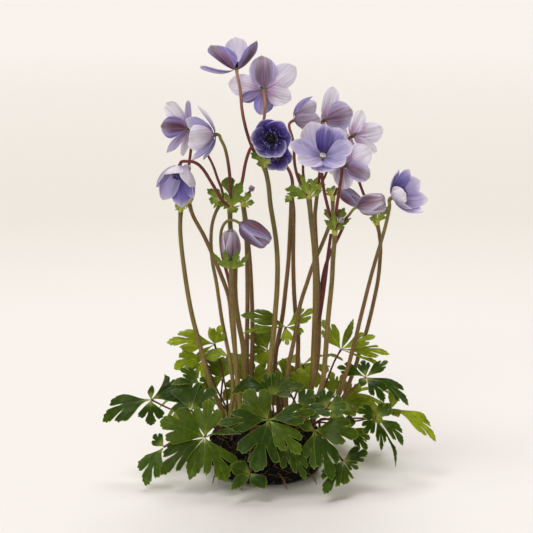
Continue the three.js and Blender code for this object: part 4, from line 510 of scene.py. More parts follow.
# Leaves: foot on the ball, and blades with the points of the petiole, the joint, and the leaflets with
# tip, width, the way they face, arch and outline
LEAVES = [
    {"name": "leaf_far_left", "foot": [-40, -8], "blades": [
        [[[-50, 50, -10], [-64, 50, -11], [-76.4, 53.6, -10]], [-92.4, 61.4, -9], [
            [[-129.4, 44.6, -14], 21, [-0.25, -0.6, 0.75], 0.1, "cut"],
            [[-92.6, 41.6, -20], 18, [0, -0.85, 0.5], 0.1, "cut"],
            [[-68.4, 72, 14], 30, [0.15, -0.75, 0.6], 0.12, "broad"],
            [[-91.6, 72.6, -4], 5, [-0.3, -0.8, 0.4], 0.05, "slim"]]]]},
    {"name": "leaf_left_fan", "foot": [-37, -18], "blades": [
        [[[-46, 45, -22], [-54, 46, -22]], [-60.4, 53, -18], [
            [[-64.4, 76.8, -6], 25, [-0.1, -0.8, 0.55], 0.06, "broad"],
            [[-41.4, 69, -13], 19, [0.1, -0.75, 0.65], 0.08, "broad"],
            [[-75.6, 54.6, -14], 10, [-0.1, -0.4, 0.9], 0.05, "slim"]]],
        [[[-42, 52, -12], [-50, 66, -6]], [-54.4, 75, -3], [
            [[-68.4, 86, -5], 9, [-0.2, -0.6, 0.75], 0.08, "broad"],
            [[-75.2, 74, -9], 7, [-0.1, -0.6, 0.75], 0.1, "slim"]]]]},
    {"name": "leaf_front_left", "foot": [-28, -30], "blades": [
        [[[-40, 42, -40], [-46, 38, -42]], [-49.4, 31, -44], [
            [[-46, 60.4, -36], 20, [0, -0.88, 0.45], 0.06, "broad"],
            [[-22, 34.6, -58], 9, [0.1, -0.35, 0.9], 0.06, "slim"],
            [[-83.4, 44, -44], 26, [-0.1, -0.78, 0.6], 0.08, "broad"],
            [[-83.6, 2.4, -58], 20, [-0.2, -0.8, 0.55], 0.1, "cut"],
            [[-61.2, -1.4, -62], 12, [-0.05, -0.85, 0.5], 0.06, "slim"],
            [[-33, -2, -66], 29, [0.1, -0.8, 0.6], 0.08, "cut"]]],
        [[[-48, 40, -30], [-66, 34, -30]], [-82, 23.4, -32], [
            [[-90, 33, -26], 10, [-0.35, -0.8, 0.45], 0.06, "broad"],
            [[-96.4, -6, -46], 18, [-0.4, -0.8, 0.4], 0.12, "cut"]]]]},
    {"name": "leaf_front", "foot": [3, -34], "blades": [
        [[[2.4, 44, -44]], [1.6, 45, -52], [
            [[-16.4, 67.8, -50], 24, [-0.2, -0.8, 0.6], 0.06, "broad"],
            [[-37.4, 42.4, -60], 15, [0, -0.8, 0.6], 0.06, "cut"],
            [[-8.4, 5.4, -76], 32, [0, -0.8, 0.6], 0.08, "cut"],
            [[26, 18.6, -70], 21, [0.2, -0.8, 0.55], 0.06, "cut"],
            [[38, 51.6, -52], 15, [0.1, -0.85, 0.5], 0.06, "cut"]]]]},
    {"name": "leaf_front_upper", "foot": [9, -24], "blades": [
        [[[6, 50, -30], [5, 58, -33]], [4.4, 65.4, -34], [
            [[-26.8, 66.4, -36], 15, [-0.05, -0.35, 0.93], 0.2, "slim"],
            [[-1.6, 81.6, -24], 9, [-0.3, -0.85, 0.4], 0.06, "broad"],
            [[10, 84, -22], 12, [0.25, -0.85, 0.45], 0.06, "broad"],
            [[29.4, 73, -30], 15, [0.1, -0.7, 0.7], 0.1, "cut"],
            [[19, 63.4, -44], 7, [0.1, -0.5, 0.85], 0.08, "slim"]]]]},
    {"name": "leaf_low_front", "foot": [-10, -33], "blades": [
        [[[-12, 41, -48], [-13, 24, -58]], [-12.8, 2.2, -66], [
            [[-28.6, 8.4, -70], 11, [-0.1, -0.8, 0.55], 0.05, "slim"],
            [[-27.6, -10, -82], 8, [0, -0.6, 0.8], 0.05, "slim"],
            [[-2, -9.4, -80], 12, [0.1, -0.7, 0.7], 0.05, "slim"]]],
        [[[0, 38, -52]], [17.2, 26, -54], [
            [[13, 7, -58], 12, [0, -0.85, 0.5], 0.05, "cut"],
            [[31, -1.6, -62], 12, [0.1, -0.85, 0.5], 0.05, "cut"]]]]},
    {"name": "leaf_front_right", "foot": [24, -30], "blades": [
        [[[32, 42, -40]], [38, 36.6, -46], [
            [[38, 7, -64], 15, [-0.1, -0.85, 0.5], 0.06, "cut"],
            [[52, -1.4, -74], 19, [0.2, -0.85, 0.5], 0.08, "cut"],
            [[71.6, 33, -56], 22, [0.1, -0.8, 0.6], 0.1, "broad"],
            [[25, 44, -50], 8, [-0.1, -0.7, 0.7], 0.05, "slim"]]],
        [[[40, 36, -36], [52, 24, -44]], [61.2, 12.2, -50], [
            [[62, -5.6, -66], 18, [0.1, -0.85, 0.5], 0.08, "broad"],
            [[46.8, -12.4, -78], 16, [0, -0.75, 0.65], 0.08, "broad"],
            [[80, 19.4, -50], 13, [0.2, -0.8, 0.5], 0.05, "broad"],
            [[73, 6, -58], 9, [0.2, -0.85, 0.5], 0.05, "cut"]]]]},
    {"name": "leaf_right", "foot": [39, -18], "blades": [
        [[[50, 46, -24], [64, 46.4, -26], [79.6, 46.4, -26]], [87.6, 46.2, -26], [
            [[72.6, 52.4, -34], 12, [0, -0.6, 0.8], 0.08, "broad"],
            [[78, 34.8, -38], 11, [0, -0.88, 0.45], 0.06, "broad"],
            [[98.8, 57.6, -20], 11, [0, -0.8, 0.6], 0.06, "broad"],
            [[108.6, 26, -32], 15, [0.4, -0.65, 0.6], 0.12, "cut"],
            [[92, 22, -40], 8, [0.35, -0.7, 0.55], 0.08, "cut"],
            [[103.6, 9.6, -36], 4, [0.4, -0.65, 0.6], 0.1, "slim"]]],
        [[[52, 42, -22]], [67, 38.4, -22], [
            [[82, 30, -26], 10, [0.1, -0.8, 0.55], 0.05, "broad"],
            [[80, 22, -32], 10, [0.1, -0.85, 0.5], 0.05, "broad"],
            [[66, 49, -26], 8, [-0.1, -0.8, 0.55], 0.05, "slim"]]]]},
    {"name": "leaf_right_far", "foot": [44, -5], "blades": [
        [[[56, 44, -9], [70, 44, -12], [91.6, 49.4, -12]], [100, 54.2, -10], [
            [[134, 29.4, -14], 18, [0.45, -0.6, 0.65], 0.1, "cut"],
            [[102.8, 72, -4], 8, [0.3, -0.85, 0.4], 0.05, "slim"],
            [[105.4, 48, -20], 8, [0.1, -0.7, 0.7], 0.05, "slim"]]]]},
    {"name": "leaf_right_arching", "foot": [32, -23], "blades": [
        [[[46, 53, -22], [60, 63, -18], [67, 69, -15], [73.2, 73.8, -12]], [79.4, 79.2, -10],
         [
            [[57, 87.6, 13], 9, [-0.1, -0.8, 0.6], 0.05, "cut"],
            [[77, 92.4, 2], 9, [0, -0.85, 0.5], 0.05, "broad"],
            [[96.4, 92, 1], 8, [0.4, -0.55, 0.72], 0.06, "broad"],
            [[112.4, 58, -8], 19, [0.4, -0.55, 0.72], 0.1, "cut"],
            [[93.4, 60.4, -26], 15, [0.2, -0.8, 0.5], 0.1, "cut"],
            [[75.6, 72, -18], 6, [-0.3, -0.85, 0.4], 0.05, "slim"]]]]},
    {"name": "leaf_right_upper", "foot": [31.4, 3], "blades": [
        [[[44, 66, 2], [50.8, 83.4, 3], [54.8, 93, 3]], [59.6, 101.4, 2], [
            [[45.4, 124, 5], 12, [-0.2, -0.88, 0.4], 0.06, "broad"],
            [[69.2, 125, 2], 5, [0.2, -0.9, 0.4], 0.05, "slim"],
            [[86, 112, 7], 12, [0.12, -0.75, 0.65], 0.08, "cut"],
            [[97, 98.4, 6], 12, [0.12, -0.75, 0.65], 0.07, "cut"],
            [[93, 86.4, 6], 4, [0.12, -0.75, 0.65], 0.07, "slim"]]],
        [[[38, 58, 10]], [54.4, 64, 12], [
            [[51.6, 83, 13], 12, [-0.1, -0.85, 0.5], 0.05, "broad"],
            [[62, 81.6, 15], 10, [0.1, -0.85, 0.5], 0.05, "broad"]]]]},
    {"name": "leaf_middle_upper", "foot": [14, -4], "blades": [
        [[[8, 66, -2], [6.4, 89, -1], [8.4, 101, -1], [12.4, 111, -1]], [15.6, 119.4, 0],
         [
            [[-18.8, 129, 0], 13, [0, -0.6, 0.8], 0.07, "cut"],
            [[-17, 115, -3], 7, [0, -0.6, 0.8], 0.06, "cut"],
            [[37.2, 133.4, 13], 11, [0.1, -0.85, 0.5], 0.04, "cut"],
            [[29.6, 116.4, 9], 9, [0.1, -0.8, 0.6], 0.04, "cut"],
            [[16.6, 105.6, -5], 8, [0, -0.8, 0.5], 0.05, "broad"]]],
        [[[20, 56, -4]], [25, 70, -6], [[[28, 85.6, -8], 15, [0.1, -0.85, 0.5], 0.05, "broad"]]]]},
    {"name": "leaf_left_upper", "foot": [-32, 16], "blades": [
        [[[-32, 66, 16], [-37, 90, 16]], [-41.6, 105.8, 14], [
            [[-78, 107, 4], 17, [0, -0.6, 0.8], 0.06, "cut"],
            [[-64, 86, 5], 4, [0, -0.6, 0.8], 0.06, "slim"],
            [[-36.4, 120, 5], 11, [0.1, -0.85, 0.5], 0.06, "broad"],
            [[-45.4, 119, 15], 5, [-0.1, -0.85, 0.5], 0.06, "slim"]]],
        [[[-40, 70, 14]], [-49.2, 94, 10], [
            [[-73, 87, 5], 16, [-0.2, -0.75, 0.65], 0.12, "broad"],
            [[-58.4, 78, 2], 14, [-0.1, -0.85, 0.5], 0.06, "cut"],
            [[-36.6, 98.6, 11], 10, [0.1, -0.8, 0.6], 0.05, "slim"]]],
        [[[-40, 58, 26]], [-54, 64, 36], [
            [[-86, 54, 44], 22, [-0.4, 0.2, 0.9], 0.12, "cut"],
            [[-72, 42, 64], 22, [-0.3, 0.5, 0.8], 0.12, "cut"],
            [[-46, 60, 60], 17, [0, 0.4, 0.9], 0.1, "broad"]]],
        [[[-36, 58, 20]], [-35, 78, 24], [
            [[-55, 69, 22], 15, [-0.1, -0.85, 0.5], 0.06, "broad"],
            [[-48, 97, 23], 13, [-0.1, -0.85, 0.5], 0.06, "broad"],
            [[-28, 98, 27], 14, [0.1, -0.85, 0.5], 0.06, "broad"]]]]},
    {"name": "leaf_back_right", "foot": [38, 22], "blades": [
        [[[50, 50, 16]], [61.2, 58.6, 16], [
            [[72.6, 70, 18], 14, [0, -0.85, 0.5], 0.05, "broad"],
            [[78, 58, 15], 14, [0.1, -0.85, 0.5], 0.05, "broad"],
            [[69, 50.4, 6], 11, [0.1, -0.8, 0.5], 0.05, "slim"]]],
        [[[42, 56, 36]], [50, 58, 50], [
            [[78, 50, 62], 20, [0.3, 0.3, 0.9], 0.12, "cut"],
            [[56, 42, 84], 22, [0.1, 0.5, 0.85], 0.12, "cut"],
            [[30, 60, 66], 18, [-0.2, 0.3, 0.9], 0.1, "cut"]]],
        [[[34, 66, 30], [31, 80, 34]], [29, 89, 38], [
            [[55, 92, 49], 20, [0.3, 0.2, 0.9], 0.12, "cut"],
            [[38, 75, 68], 21, [0.1, 0.5, 0.85], 0.12, "cut"],
            [[12, 90, 54], 18, [-0.2, 0.2, 0.9], 0.1, "broad"]]],
        [[[54, 60, 28]], [68, 66, 34], [
            [[98, 62, 44], 20, [0.3, 0.1, 0.9], 0.12, "cut"],
            [[86, 46, 62], 20, [0.3, 0.5, 0.8], 0.12, "cut"]]],
        [[[30, 50, 25]], [19, 66, 25], [
            [[14, 89, 26], 13, [-0.1, -0.85, 0.5], 0.06, "broad"],
            [[34, 84, 26], 14, [0.1, -0.85, 0.5], 0.06, "broad"],
            [[2, 63, 24], 11, [0, -0.85, 0.5], 0.06, "broad"]]]]},
    {"name": "leaf_front_stems", "foot": [20, -20], "blades": [
        [[[34, 50, -30]], [48.4, 54.6, -34], [
            [[44, 66.4, -28], 13, [-0.1, -0.85, 0.5], 0.05, "broad"],
            [[61.6, 56, -36], 13, [0.1, -0.8, 0.55], 0.06, "broad"]]],
        [[[22, 46, -30]], [25.6, 54, -36], [
            [[35, 66.6, -32], 11, [0.1, -0.85, 0.5], 0.05, "broad"],
            [[46.8, 50, -48], 11, [0.1, -0.8, 0.6], 0.05, "cut"]]]]},
    {"name": "leaf_back", "foot": [0, 26], "blades": [
        [[[4, 64, 27], [3, 86, 28]], [1.2, 101, 28], [
            [[-8.4, 117.4, 28], 16, [-0.2, -0.88, 0.4], 0.06, "broad"],
            [[-10.4, 101, 24], 14, [-0.1, -0.85, 0.5], 0.05, "broad"],
            [[-4, 92, 19], 11, [0, -0.85, 0.5], 0.05, "slim"]]],
        [[[-8, 56, 38]], [-18, 60, 52], [
            [[-46, 52, 60], 20, [-0.3, 0.3, 0.9], 0.12, "cut"],
            [[-22, 42, 86], 24, [0, 0.5, 0.85], 0.12, "cut"],
            [[6, 56, 72], 18, [0.2, 0.3, 0.9], 0.1, "cut"]]],
        [[[-14, 70, 32], [-23, 86, 35]], [-27, 94, 37], [
            [[-54, 92, 50], 19, [-0.3, 0.2, 0.9], 0.12, "cut"],
            [[-36, 80, 64], 20, [-0.1, 0.5, 0.85], 0.12, "cut"],
            [[-10, 92, 56], 17, [0.2, 0.2, 0.9], 0.1, "broad"]]],
        [[[-6, 54, 26]], [-13, 73, 26], [
            [[-31, 66, 26], 14, [-0.1, -0.85, 0.5], 0.06, "broad"],
            [[-21, 93, 27], 14, [0, -0.85, 0.5], 0.06, "broad"],
            [[4, 85, 27], 14, [0.1, -0.85, 0.5], 0.06, "broad"]]]]},
]

# Root ends on the ball: start, end and thickness
ROOTS = [
    [[-45, 18, -8], [-49, 2, -16], 1.6], [[-38, 12, -26], [-43, 2, -36], 1.4],
    [[-14, 9, -44], [-20, 2, -52], 1.4], [[10, 12, -44], [16, 2, -50], 1.5],
    [[32, 10, -32], [40, 2, -38], 1.4], [[45, 14, -6], [51, 2, -10], 1.6], [[40, 16, 20], [47, 2, 24], 1.5],
    [[12, 14, 44], [16, 2, 52], 1.5], [[-20, 12, 40], [-26, 2, 48], 1.4], [[-42, 12, 20], [-50, 2, 22], 1.5],
]


def srgb(code):
    """The colour of a six-digit code, as shaders count it."""
    values = [int(code[i:i + 2], 16) / 255 for i in (0, 2, 4)]
    return [v / 12.92 if v <= 0.04045 else ((v + 0.055) / 1.055) ** 2.4 for v in values]


COLOURS = {name: srgb(code) for name, code in {
    "inner_pale": "E8E1F6", "inner_mid": "9E95DA", "inner_dark": "523C9A", "inner_base": "331B50",
    "margin": "F8F5FA", "outer_pale": "F1EAF5", "outer_pink": "DDBCDF", "outer_blue": "8B80D2",
    "outer_brown": "926880", "tip_tan": "AD9870", "foot_green": "8F9258",
    # anther_pollen_glint: pale blue-grey laid on some anthers, partly pollen and partly painted glints of
    # light
    "anther": "14111F", "anther_pollen_glint": "8A8CC4", "filament": "3A2C5E",
    "carpel": "4A5426", "carpel_dark": "14180C",
    "scape_low": "8C7C3E", "scape_mid": "7C6A36", "scape_high": "6C6038", "scape_red": "6E4228",
    "pedicel": "66302E", "pedicel_pale": "B98878", "pedicel_olive": "7D7440", "hair": "D8CBA6",
    "bract_foot": "BEBF58", "bract": "84963A", "bract_tip": "4C6220",
    "leaf_dark": "2C400A", "leaf_mid": "3A4F0A", "leaf_blue": "38561F", "leaf_young_backlit": "A4B622",
    # leaf_young_backlit: pale yellow-green, partly young leaves' colour, partly painted glow of light through
    # rear leaves
    "leaf_under": "A9B832", "leaf_margin": "8CA246", "leaf_foot": "9DA94A",
    "petiole": "5C2428", "petiole_green": "76702E",
    "soil": "070402", "soil_light": "100B06", "root": "7A6140", "root_dark": "3A2C1A",
}.items()}


def clamp(value, low=0.0, high=1.0):
    return max(low, min(high, value))


def ease(low, high, value):
    share = clamp((value - low) / (high - low))
    return share * share * (3 - 2 * share)


def blend(first, second, share):
    share = clamp(share)
    return [a + (b - a) * share for a, b in zip(first, second)]


def coated(first, *coats):
    """A named colour with further named colours laid over it, each by its own share."""
    paint = COLOURS[first]
    for name, share in coats:
        paint = blend(paint, COLOURS[name], share)
    return paint


def place(point):
    """Turns a point seen from the front into its place in the part."""
    across, up, back = point
    tilt_sin = math.sin(SIGHT_TILT)
    tilt_cos = math.cos(SIGHT_TILT)
    rise = up - SIGHT_HEIGHT * tilt_cos
    eye_y = -SIGHT_DISTANCE * tilt_cos
    eye_z = SIGHT_HEIGHT + SIGHT_DISTANCE * tilt_sin
    reach = (back - eye_y) / (rise * tilt_sin - eye_y)
    return Vector((reach * across, back, eye_z + reach * (SIGHT_HEIGHT + rise * tilt_cos - eye_z)))


def leaned(point, lean):
    """Moves a point of a scape, or of a bloom or bud on it, back or forward by the scape's lean."""
    across, up, back = point
    share = max(0, up - LEAN_START) / (LEAN_HEIGHT - LEAN_START)
    return [across, up, back + lean * share ** LEAN_POWER]


def lean_of(name):
    """The lean of the scape that carries a bloom or bud."""
    for stem in STEMS:
        for limb in stem["limbs"]:
            if name in (limb.get("bloom"), limb.get("bud")):
                return stem["lean"]
    raise KeyError(name)


def round_from(side, other, turn):
    """The direction at a turn, counted from the first of two directions toward the second."""
    return side * math.cos(turn) + other * math.sin(turn)


def square_pair(axis, upright):
    """Two directions square to an axis. One that rises by more than the given share counts as upright."""
    helper = Vector((1, 0, 0)) if abs(axis.z) > upright else Vector((0, 0, 1))
    side = axis.cross(helper).normalized()
    return side, axis.cross(side)


def grid_faces(rows, columns, corners):
    """Faces of a grid of points, row by row. The four corners are given as steps across and up."""
    stride = columns + 1
    steps = [across + up * stride for across, up in corners]
    return [[i * stride + j + step for step in steps] for i in range(rows) for j in range(columns)]


class Shape:
    """Points, faces, paint and spots of one piece while it is built, in millimetres."""

    def __init__(self):
        self.points = []
        self.faces = []
        self.kinds = []
        self.paint = []
        self.spots = []

    def add(self, point, paint, spot=(0.0, 0.0, 0.0)):
        self.points.append(point)
        self.paint.append(paint)
        self.spots.append(spot)
        return len(self.points) - 1

    def face(self, corners, kind=FRONT):
        self.faces.append(corners)
        self.kinds.append(kind)

    def join_rings(self, first, rings, sides, kind=FRONT):
        """Faces between rings of points that follow one another."""
        for i in range(rings - 1):
            for j in range(sides):
                a = first + i * sides + j
                b = first + i * sides + (j + 1) % sides
                self.face([a, b, b + sides, a + sides], kind)

    def make(self, name, materials, slot, nodes, sharp=SHARP_ANGLE):
        mesh = bpy.data.meshes.new(name)
        mesh.from_pydata([point * MM for point in self.points], [], self.faces)
        mesh.polygons.foreach_set("material_index", self.kinds)
        mesh.polygons.foreach_set("use_smooth", [True] * len(self.faces))
        paint = mesh.color_attributes.new(name="paint", type="FLOAT_COLOR", domain="POINT")
        paint.data.foreach_set("color", [value for row in self.paint for value in (*row, 1.0)])
        spots = mesh.attributes.new("spot", "FLOAT_VECTOR", "POINT")
        spots.data.foreach_set("vector", [value for row in self.spots for value in row])
        mesh.set_sharp_from_angle(angle=math.radians(sharp))
        for material in materials:
            mesh.materials.append(MATERIALS[material])
        piece = bpy.data.objects.new(name, mesh)
        bpy.context.scene.collection.objects.link(piece)
        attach(piece, "root")
        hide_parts(*nodes)


def add_shell(shape, sheet, faces, thickness):
    """A thin closed sheet from rows of point, normal, paint of both sides, and spot."""
    count = len(sheet)
    first = len(shape.points)
    for side, which in ((0.5, FRONT), (-0.5, BACK)):
        for point, normal, paints, spot in sheet:
            shape.add(point + normal * (side * thickness), paints[which], spot)
    edges = set()
    for face in faces:
        shape.face([first + i for i in face], FRONT)
        shape.face([first + count + i for i in reversed(face)], BACK)
        for a, b in zip(face, face[1:] + face[:1]):
            edges.add((a, b))
    for a, b in edges:
        if (b, a) not in edges:
            shape.face([first + a, first + count + a, first + count + b, first + b], FRONT)


def smooth_line(points, spacing):
    """Even points along a smooth line through the given ones."""
    steps = 16
    fine = []
    for i in range(len(points) - 1):
        b, c = points[i], points[i + 1]
        a = points[i - 1] if i else b * 2 - c
        d = points[i + 2] if i + 2 < len(points) else c * 2 - b
        step_a, step_b, step_c = (max(math.sqrt((q - p).length), 1e-3) for p, q in ((a, b), (b, c), (c, d)))
        start = ((b - a) / step_a - (c - a) / (step_a + step_b) + (c - b) / step_b) * step_b
        end = ((c - b) / step_b - (d - b) / (step_b + step_c) + (d - c) / step_c) * step_b
        for k in range(steps):
            u = k / steps
            fine.append(b + start * u + (c * 3 - b * 3 - start * 2 - end) * u * u
                        + (b * 2 - c * 2 + start + end) * u ** 3)
    fine.append(points[-1])
    gone = [0.0]
    for p, q in zip(fine, fine[1:]):
        gone.append(gone[-1] + (q - p).length)
    count = max(2, round(gone[-1] / spacing))
    line = []
    k = 0
    for i in range(count + 1):
        wanted = gone[-1] * i / count
        while k + 2 < len(gone) and gone[k + 1] < wanted:
            k += 1
        span = gone[k + 1] - gone[k]
        line.append(fine[k].lerp(fine[k + 1], clamp((wanted - gone[k]) / span if span else 0)))
    return line


def rounded_line(line):
    """The same line with its sharp turns rounded and its two ends kept."""
    for _ in range(PEDICEL_ROUNDING):
        line = [line[0], *((a + b * 2 + c) / 4 for a, b, c in zip(line, line[1:], line[2:])), line[-1]]
    return line


def side_directions(line):
    """Two directions square to a line at each of its points, which turn as little as they can."""
    found = []
    helper = None
    for i in range(len(line)):
        along = (line[min(i + 1, len(line) - 1)] - line[max(i - 1, 0)]).normalized()
        if helper is None:
            helper = Vector((0, 1, 0)) if abs(along.y) < 0.9 else Vector((1, 0, 0))
        helper = (helper - along * helper.dot(along)).normalized()
        found.append((helper, along.cross(helper), along))
    return found


def add_tube(shape, line, radius_at, sides, paint_at, kind=FRONT, ribs=0.0):
    """A closed round tube along a line. Its radius and paint are asked for by share of its length."""
    last = len(line) - 1
    first = len(shape.points)
    for i, (point, (side, other, _)) in enumerate(zip(line, side_directions(line))):
        share = i / last
        for j in range(sides):
            turn = j / sides * math.tau
            radius = radius_at(share) * (1 + ribs * (1 if j % 2 else -1))
            rim = point + side * (math.cos(turn) * radius) + other * (math.sin(turn) * radius)
            shape.add(rim, paint_at(share), (turn, share, first % 97 / 97))
    shape.join_rings(first, len(line), sides, kind)
    shape.face([first + j for j in reversed(range(sides))], kind)
    shape.face([first + last * sides + j for j in range(sides)], kind)


def add_hairs(shape, line, radius_at, hairs, source):
    """Fine spikes that stand out of a tube, sunk a little into it."""
    per_mm, length = hairs
    directions = side_directions(line)
    last = len(line) - 1
    span = sum((q - p).length for p, q in zip(line, line[1:]))
    for _ in range(int(span * per_mm)):
        share = source.random()
        i = min(int(share * last), last - 1)
        point = line[i].lerp(line[i + 1], share * last - i)
        side, other, along = directions[i]
        out = round_from(side, other, source.random() * math.tau)
        cross = along.cross(out)
        root = point + out * (radius_at(share) - HAIR_SUNK)
        tip_out = out + along * source.uniform(-0.25, 0.6) + cross * source.uniform(-0.4, 0.4)
        tip = root + tip_out.normalized() * (length * source.uniform(0.55, 1.15))
        a, b, c = (shape.add(root + round_from(along, cross, turn) * HAIR_RADIUS, COLOURS["hair"])
                   for turn in HAIR_CORNERS)
        end = shape.add(tip, COLOURS["hair"])
        for face in ([a, b, end], [b, c, end], [c, a, end], [a, c, b]):
            shape.face(face, HAIR)


def add_ball(shape, centre, radius, paint, rows=7, sides=10, axis=Vector((0, 0, 1)), stretch=1.0, kind=FRONT,
             rough=0.0):
    """A closed ball, drawn out along its axis, with its surface a little uneven."""
    side, other = square_pair(axis, 0.8)
    low = shape.add(centre - axis * (radius * stretch), paint)
    rings = []
    for i in range(1, rows):
        rise = math.pi * i / rows
        ring = []
        for j in range(sides):
            out = round_from(side, other, math.tau * j / sides)
            uneven = 1 + rough * noise.noise(centre * 3 + out * 2 + axis * (i * 0.9))
            ring.append(shape.add(centre + out * (math.sin(rise) * radius * uneven)
                                  - axis * (math.cos(rise) * radius * stretch * uneven), paint))
        rings.append(ring)
    high = shape.add(centre + axis * (radius * stretch), paint)
    for j in range(sides):
        k = (j + 1) % sides
        shape.face([low, rings[0][k], rings[0][j]], kind)
        for lower, upper in zip(rings, rings[1:]):
            shape.face([lower[j], lower[k], upper[k], upper[j]], kind)
        shape.face([rings[-1][j], rings[-1][k], high], kind)


def facing(direction):
    """The way a bloom faces, and the two directions square to it, the last one toward the top of the view."""
    axis = Vector(direction).normalized()
    view_up = Vector((0, math.sin(SIGHT_TILT), math.cos(SIGHT_TILT)))
    top = Vector((0, math.cos(SIGHT_TILT), 0.2)) if axis.z > 0.7 else view_up
    upward = (top - axis * top.dot(axis)).normalized()
    sideways = axis.cross(upward)
    if sideways.x < 0 or (abs(sideways.x) < 0.2 and sideways.y > 0):
        sideways.negate()
    return axis, sideways, upward


def tepal_line(length, base_slope, tip_slope):
    """Distance from the axis, height and slope at even steps from the heart of a bloom to a tepal's tip."""
    line = []
    reach = TEPAL_FOOT_REACH
    height = 0.0
    for i in range(TEPAL_FINE_STEPS + 1):
        slope = math.radians(base_slope + (tip_slope - base_slope) * (i / TEPAL_FINE_STEPS) ** 0.8)
        line.append((reach, height, slope))
        reach += math.sin(slope) * length / TEPAL_FINE_STEPS
        height += math.cos(slope) * length / TEPAL_FINE_STEPS
    return line


def turn_room(turn, turns, side):
    """Half the turn to the nearest tepal of the same layer on one side, less a narrow slit."""
    gaps = [gap for gap in ((other - turn) * side % math.tau for other in turns) if gap > 0.01]
    return min([math.tau, *gaps]) / 2 - TEPAL_SLIT_TURN


def tepal_width(share):
    """Width of a tepal along its length, as a share of its widest."""
    if share < TEPAL_WIDEST_SHARE:
        return 0.26 + 0.74 * math.sin(math.pi / 2 * share / TEPAL_WIDEST_SHARE) ** 0.85
    return math.sqrt(max(0.0, 1 - ((share - TEPAL_WIDEST_SHARE) / TEPAL_ROUND_SPAN) ** 2))


def inner_paint(share, out, style):
    """Paint of the inner side of a tepal at a share of its length and of its half width."""
    deep, _, _, pale, rim = style
    fade = deep * (1.25 - 0.75 * share)
    side = ease(0.86, 1.0, out) * ease(0.3, 0.7, share) * (1 - deep)
    edge = max(side, ease(1 - rim, 1.0, share + 0.08 * out * out * ease(0.5, 0.8, share)))
    return coated(
        "inner_pale", ("inner_mid", fade * 1.5), ("inner_dark", (fade - 0.42) * 1.9),
        ("inner_base", deep * (1 - ease(0.0, 0.42, share)) * 0.85),
        ("margin", pale * 0.6 * ease(0.0, 0.4, share)), ("margin", edge * 0.75))


def outer_paint(share, out, style):
    """The same for its outer side."""
    _, brown, blue, pale, _ = style
    middle = (1 - ease(0.3, 0.9, out)) * (1 - 0.5 * ease(0.5, 1.0, share))
    edge = max(ease(0.86, 1.0, out), ease(0.93, 1.0, share))
    return coated(
        "outer_pink", ("outer_pale", ease(0.05, 0.7, share)), ("margin", pale * 0.8 * ease(0.15, 0.6, share)),
        ("outer_blue", blue * (0.35 + 0.65 * ease(0.3, 0.85, out))), ("outer_brown", brown * middle),
        ("outer_brown", 0.4 * (1 - ease(0.0, 0.3, share)) * (1 - 0.6 * pale)),
        ("tip_tan", ease(0.80, 1.0, share) * (1 - out) * (0.25 + 0.6 * brown)),
        ("foot_green", (1 - ease(0.0, 0.08, share)) * 0.8), ("margin", edge * 0.6 * (1 - 0.5 * brown)))


def add_tepal(shape, centre, frame, row, turns, overlap, style, source):
    """One tepal: a sheet about the axis of its bloom, cupped, creased along its middle and a little wavy."""
    axis, sideways, upward = frame
    turn_degrees, length, width, base_slope, tip_slope, layer = row
    turn = math.radians(turn_degrees)
    room = {side: turn_room(turn, turns, side) + overlap for side in (-1, 1)}
    line = tepal_line(length, base_slope, tip_slope)
    forward = NARROW_TEPAL_SHIFT if layer and width < NARROW_TEPAL else 0
    base = centre + axis * (TEPAL_OUTER_SHIFT + layer * TEPAL_LAYER_STEP + forward)
    seed = source.random()
    wave_turn = source.random() * math.tau
    wave_size = source.uniform(0.3, 0.8)
    tip_skew = source.uniform(-0.06, 0.06)
    sheet = []
    for share in TEPAL_ROWS:
        half = tepal_width(share) * width / 2 * TEPAL_FULLNESS
        for column in range(TEPAL_COLUMNS + 1):
            out = column / TEPAL_COLUMNS * 2 - 1
            bend = share - 0.035 * out * out * ease(0.6, 1.0, share)
            step = min(bend * TEPAL_FINE_STEPS, TEPAL_FINE_STEPS - 1e-6)
            k = int(step)
            reach, height, slope = (a + (b - a) * (step - k) for a, b in zip(line[k], line[k + 1]))
            widest = TEPAL_FOOT_TURN + (TEPAL_WIDEST_TURN - TEPAL_FOOT_TURN) * clamp(share / 0.3)
            side = 1 if out > 0 else -1
            angle = turn + out * min(half / reach, widest, room[side]) + tip_skew * share ** 3
            outward = round_from(sideways, upward, angle)
            inward = outward * -math.cos(slope) + axis * math.sin(slope)
            cup = half * out * out * (0.06 + 0.10 * layer) * ease(0.0, 0.4, share)
            wave = wave_size * math.sin(wave_turn + share * 9 + out * 1.3) * abs(out) ** 3 * share
            crease = TEPAL_CREASE * math.exp(-(out / 0.16) ** 2) * ease(0.0, 0.25, share)
            crease *= 1 - ease(0.7, 1, share)
            tuck = TEPAL_TUCK * out * ease(0.1, 0.5, share)
            point = base + outward * reach + axis * height + inward * (cup + wave + crease + tuck)
            paints = (inner_paint(share, abs(out), style), outer_paint(share, abs(out), style))
            sheet.append((point, inward, paints, (out * half, share * length, seed)))
    faces = grid_faces(len(TEPAL_ROWS) - 1, TEPAL_COLUMNS, ((0, 0), (1, 0), (1, 1), (0, 1)))
    add_shell(shape, sheet, faces, TEPAL_THICKNESS)


def make_petals(shape, name):
    shape.make("petals_" + name, ["tepal_inner", "tepal_outer"], "petal", [name])


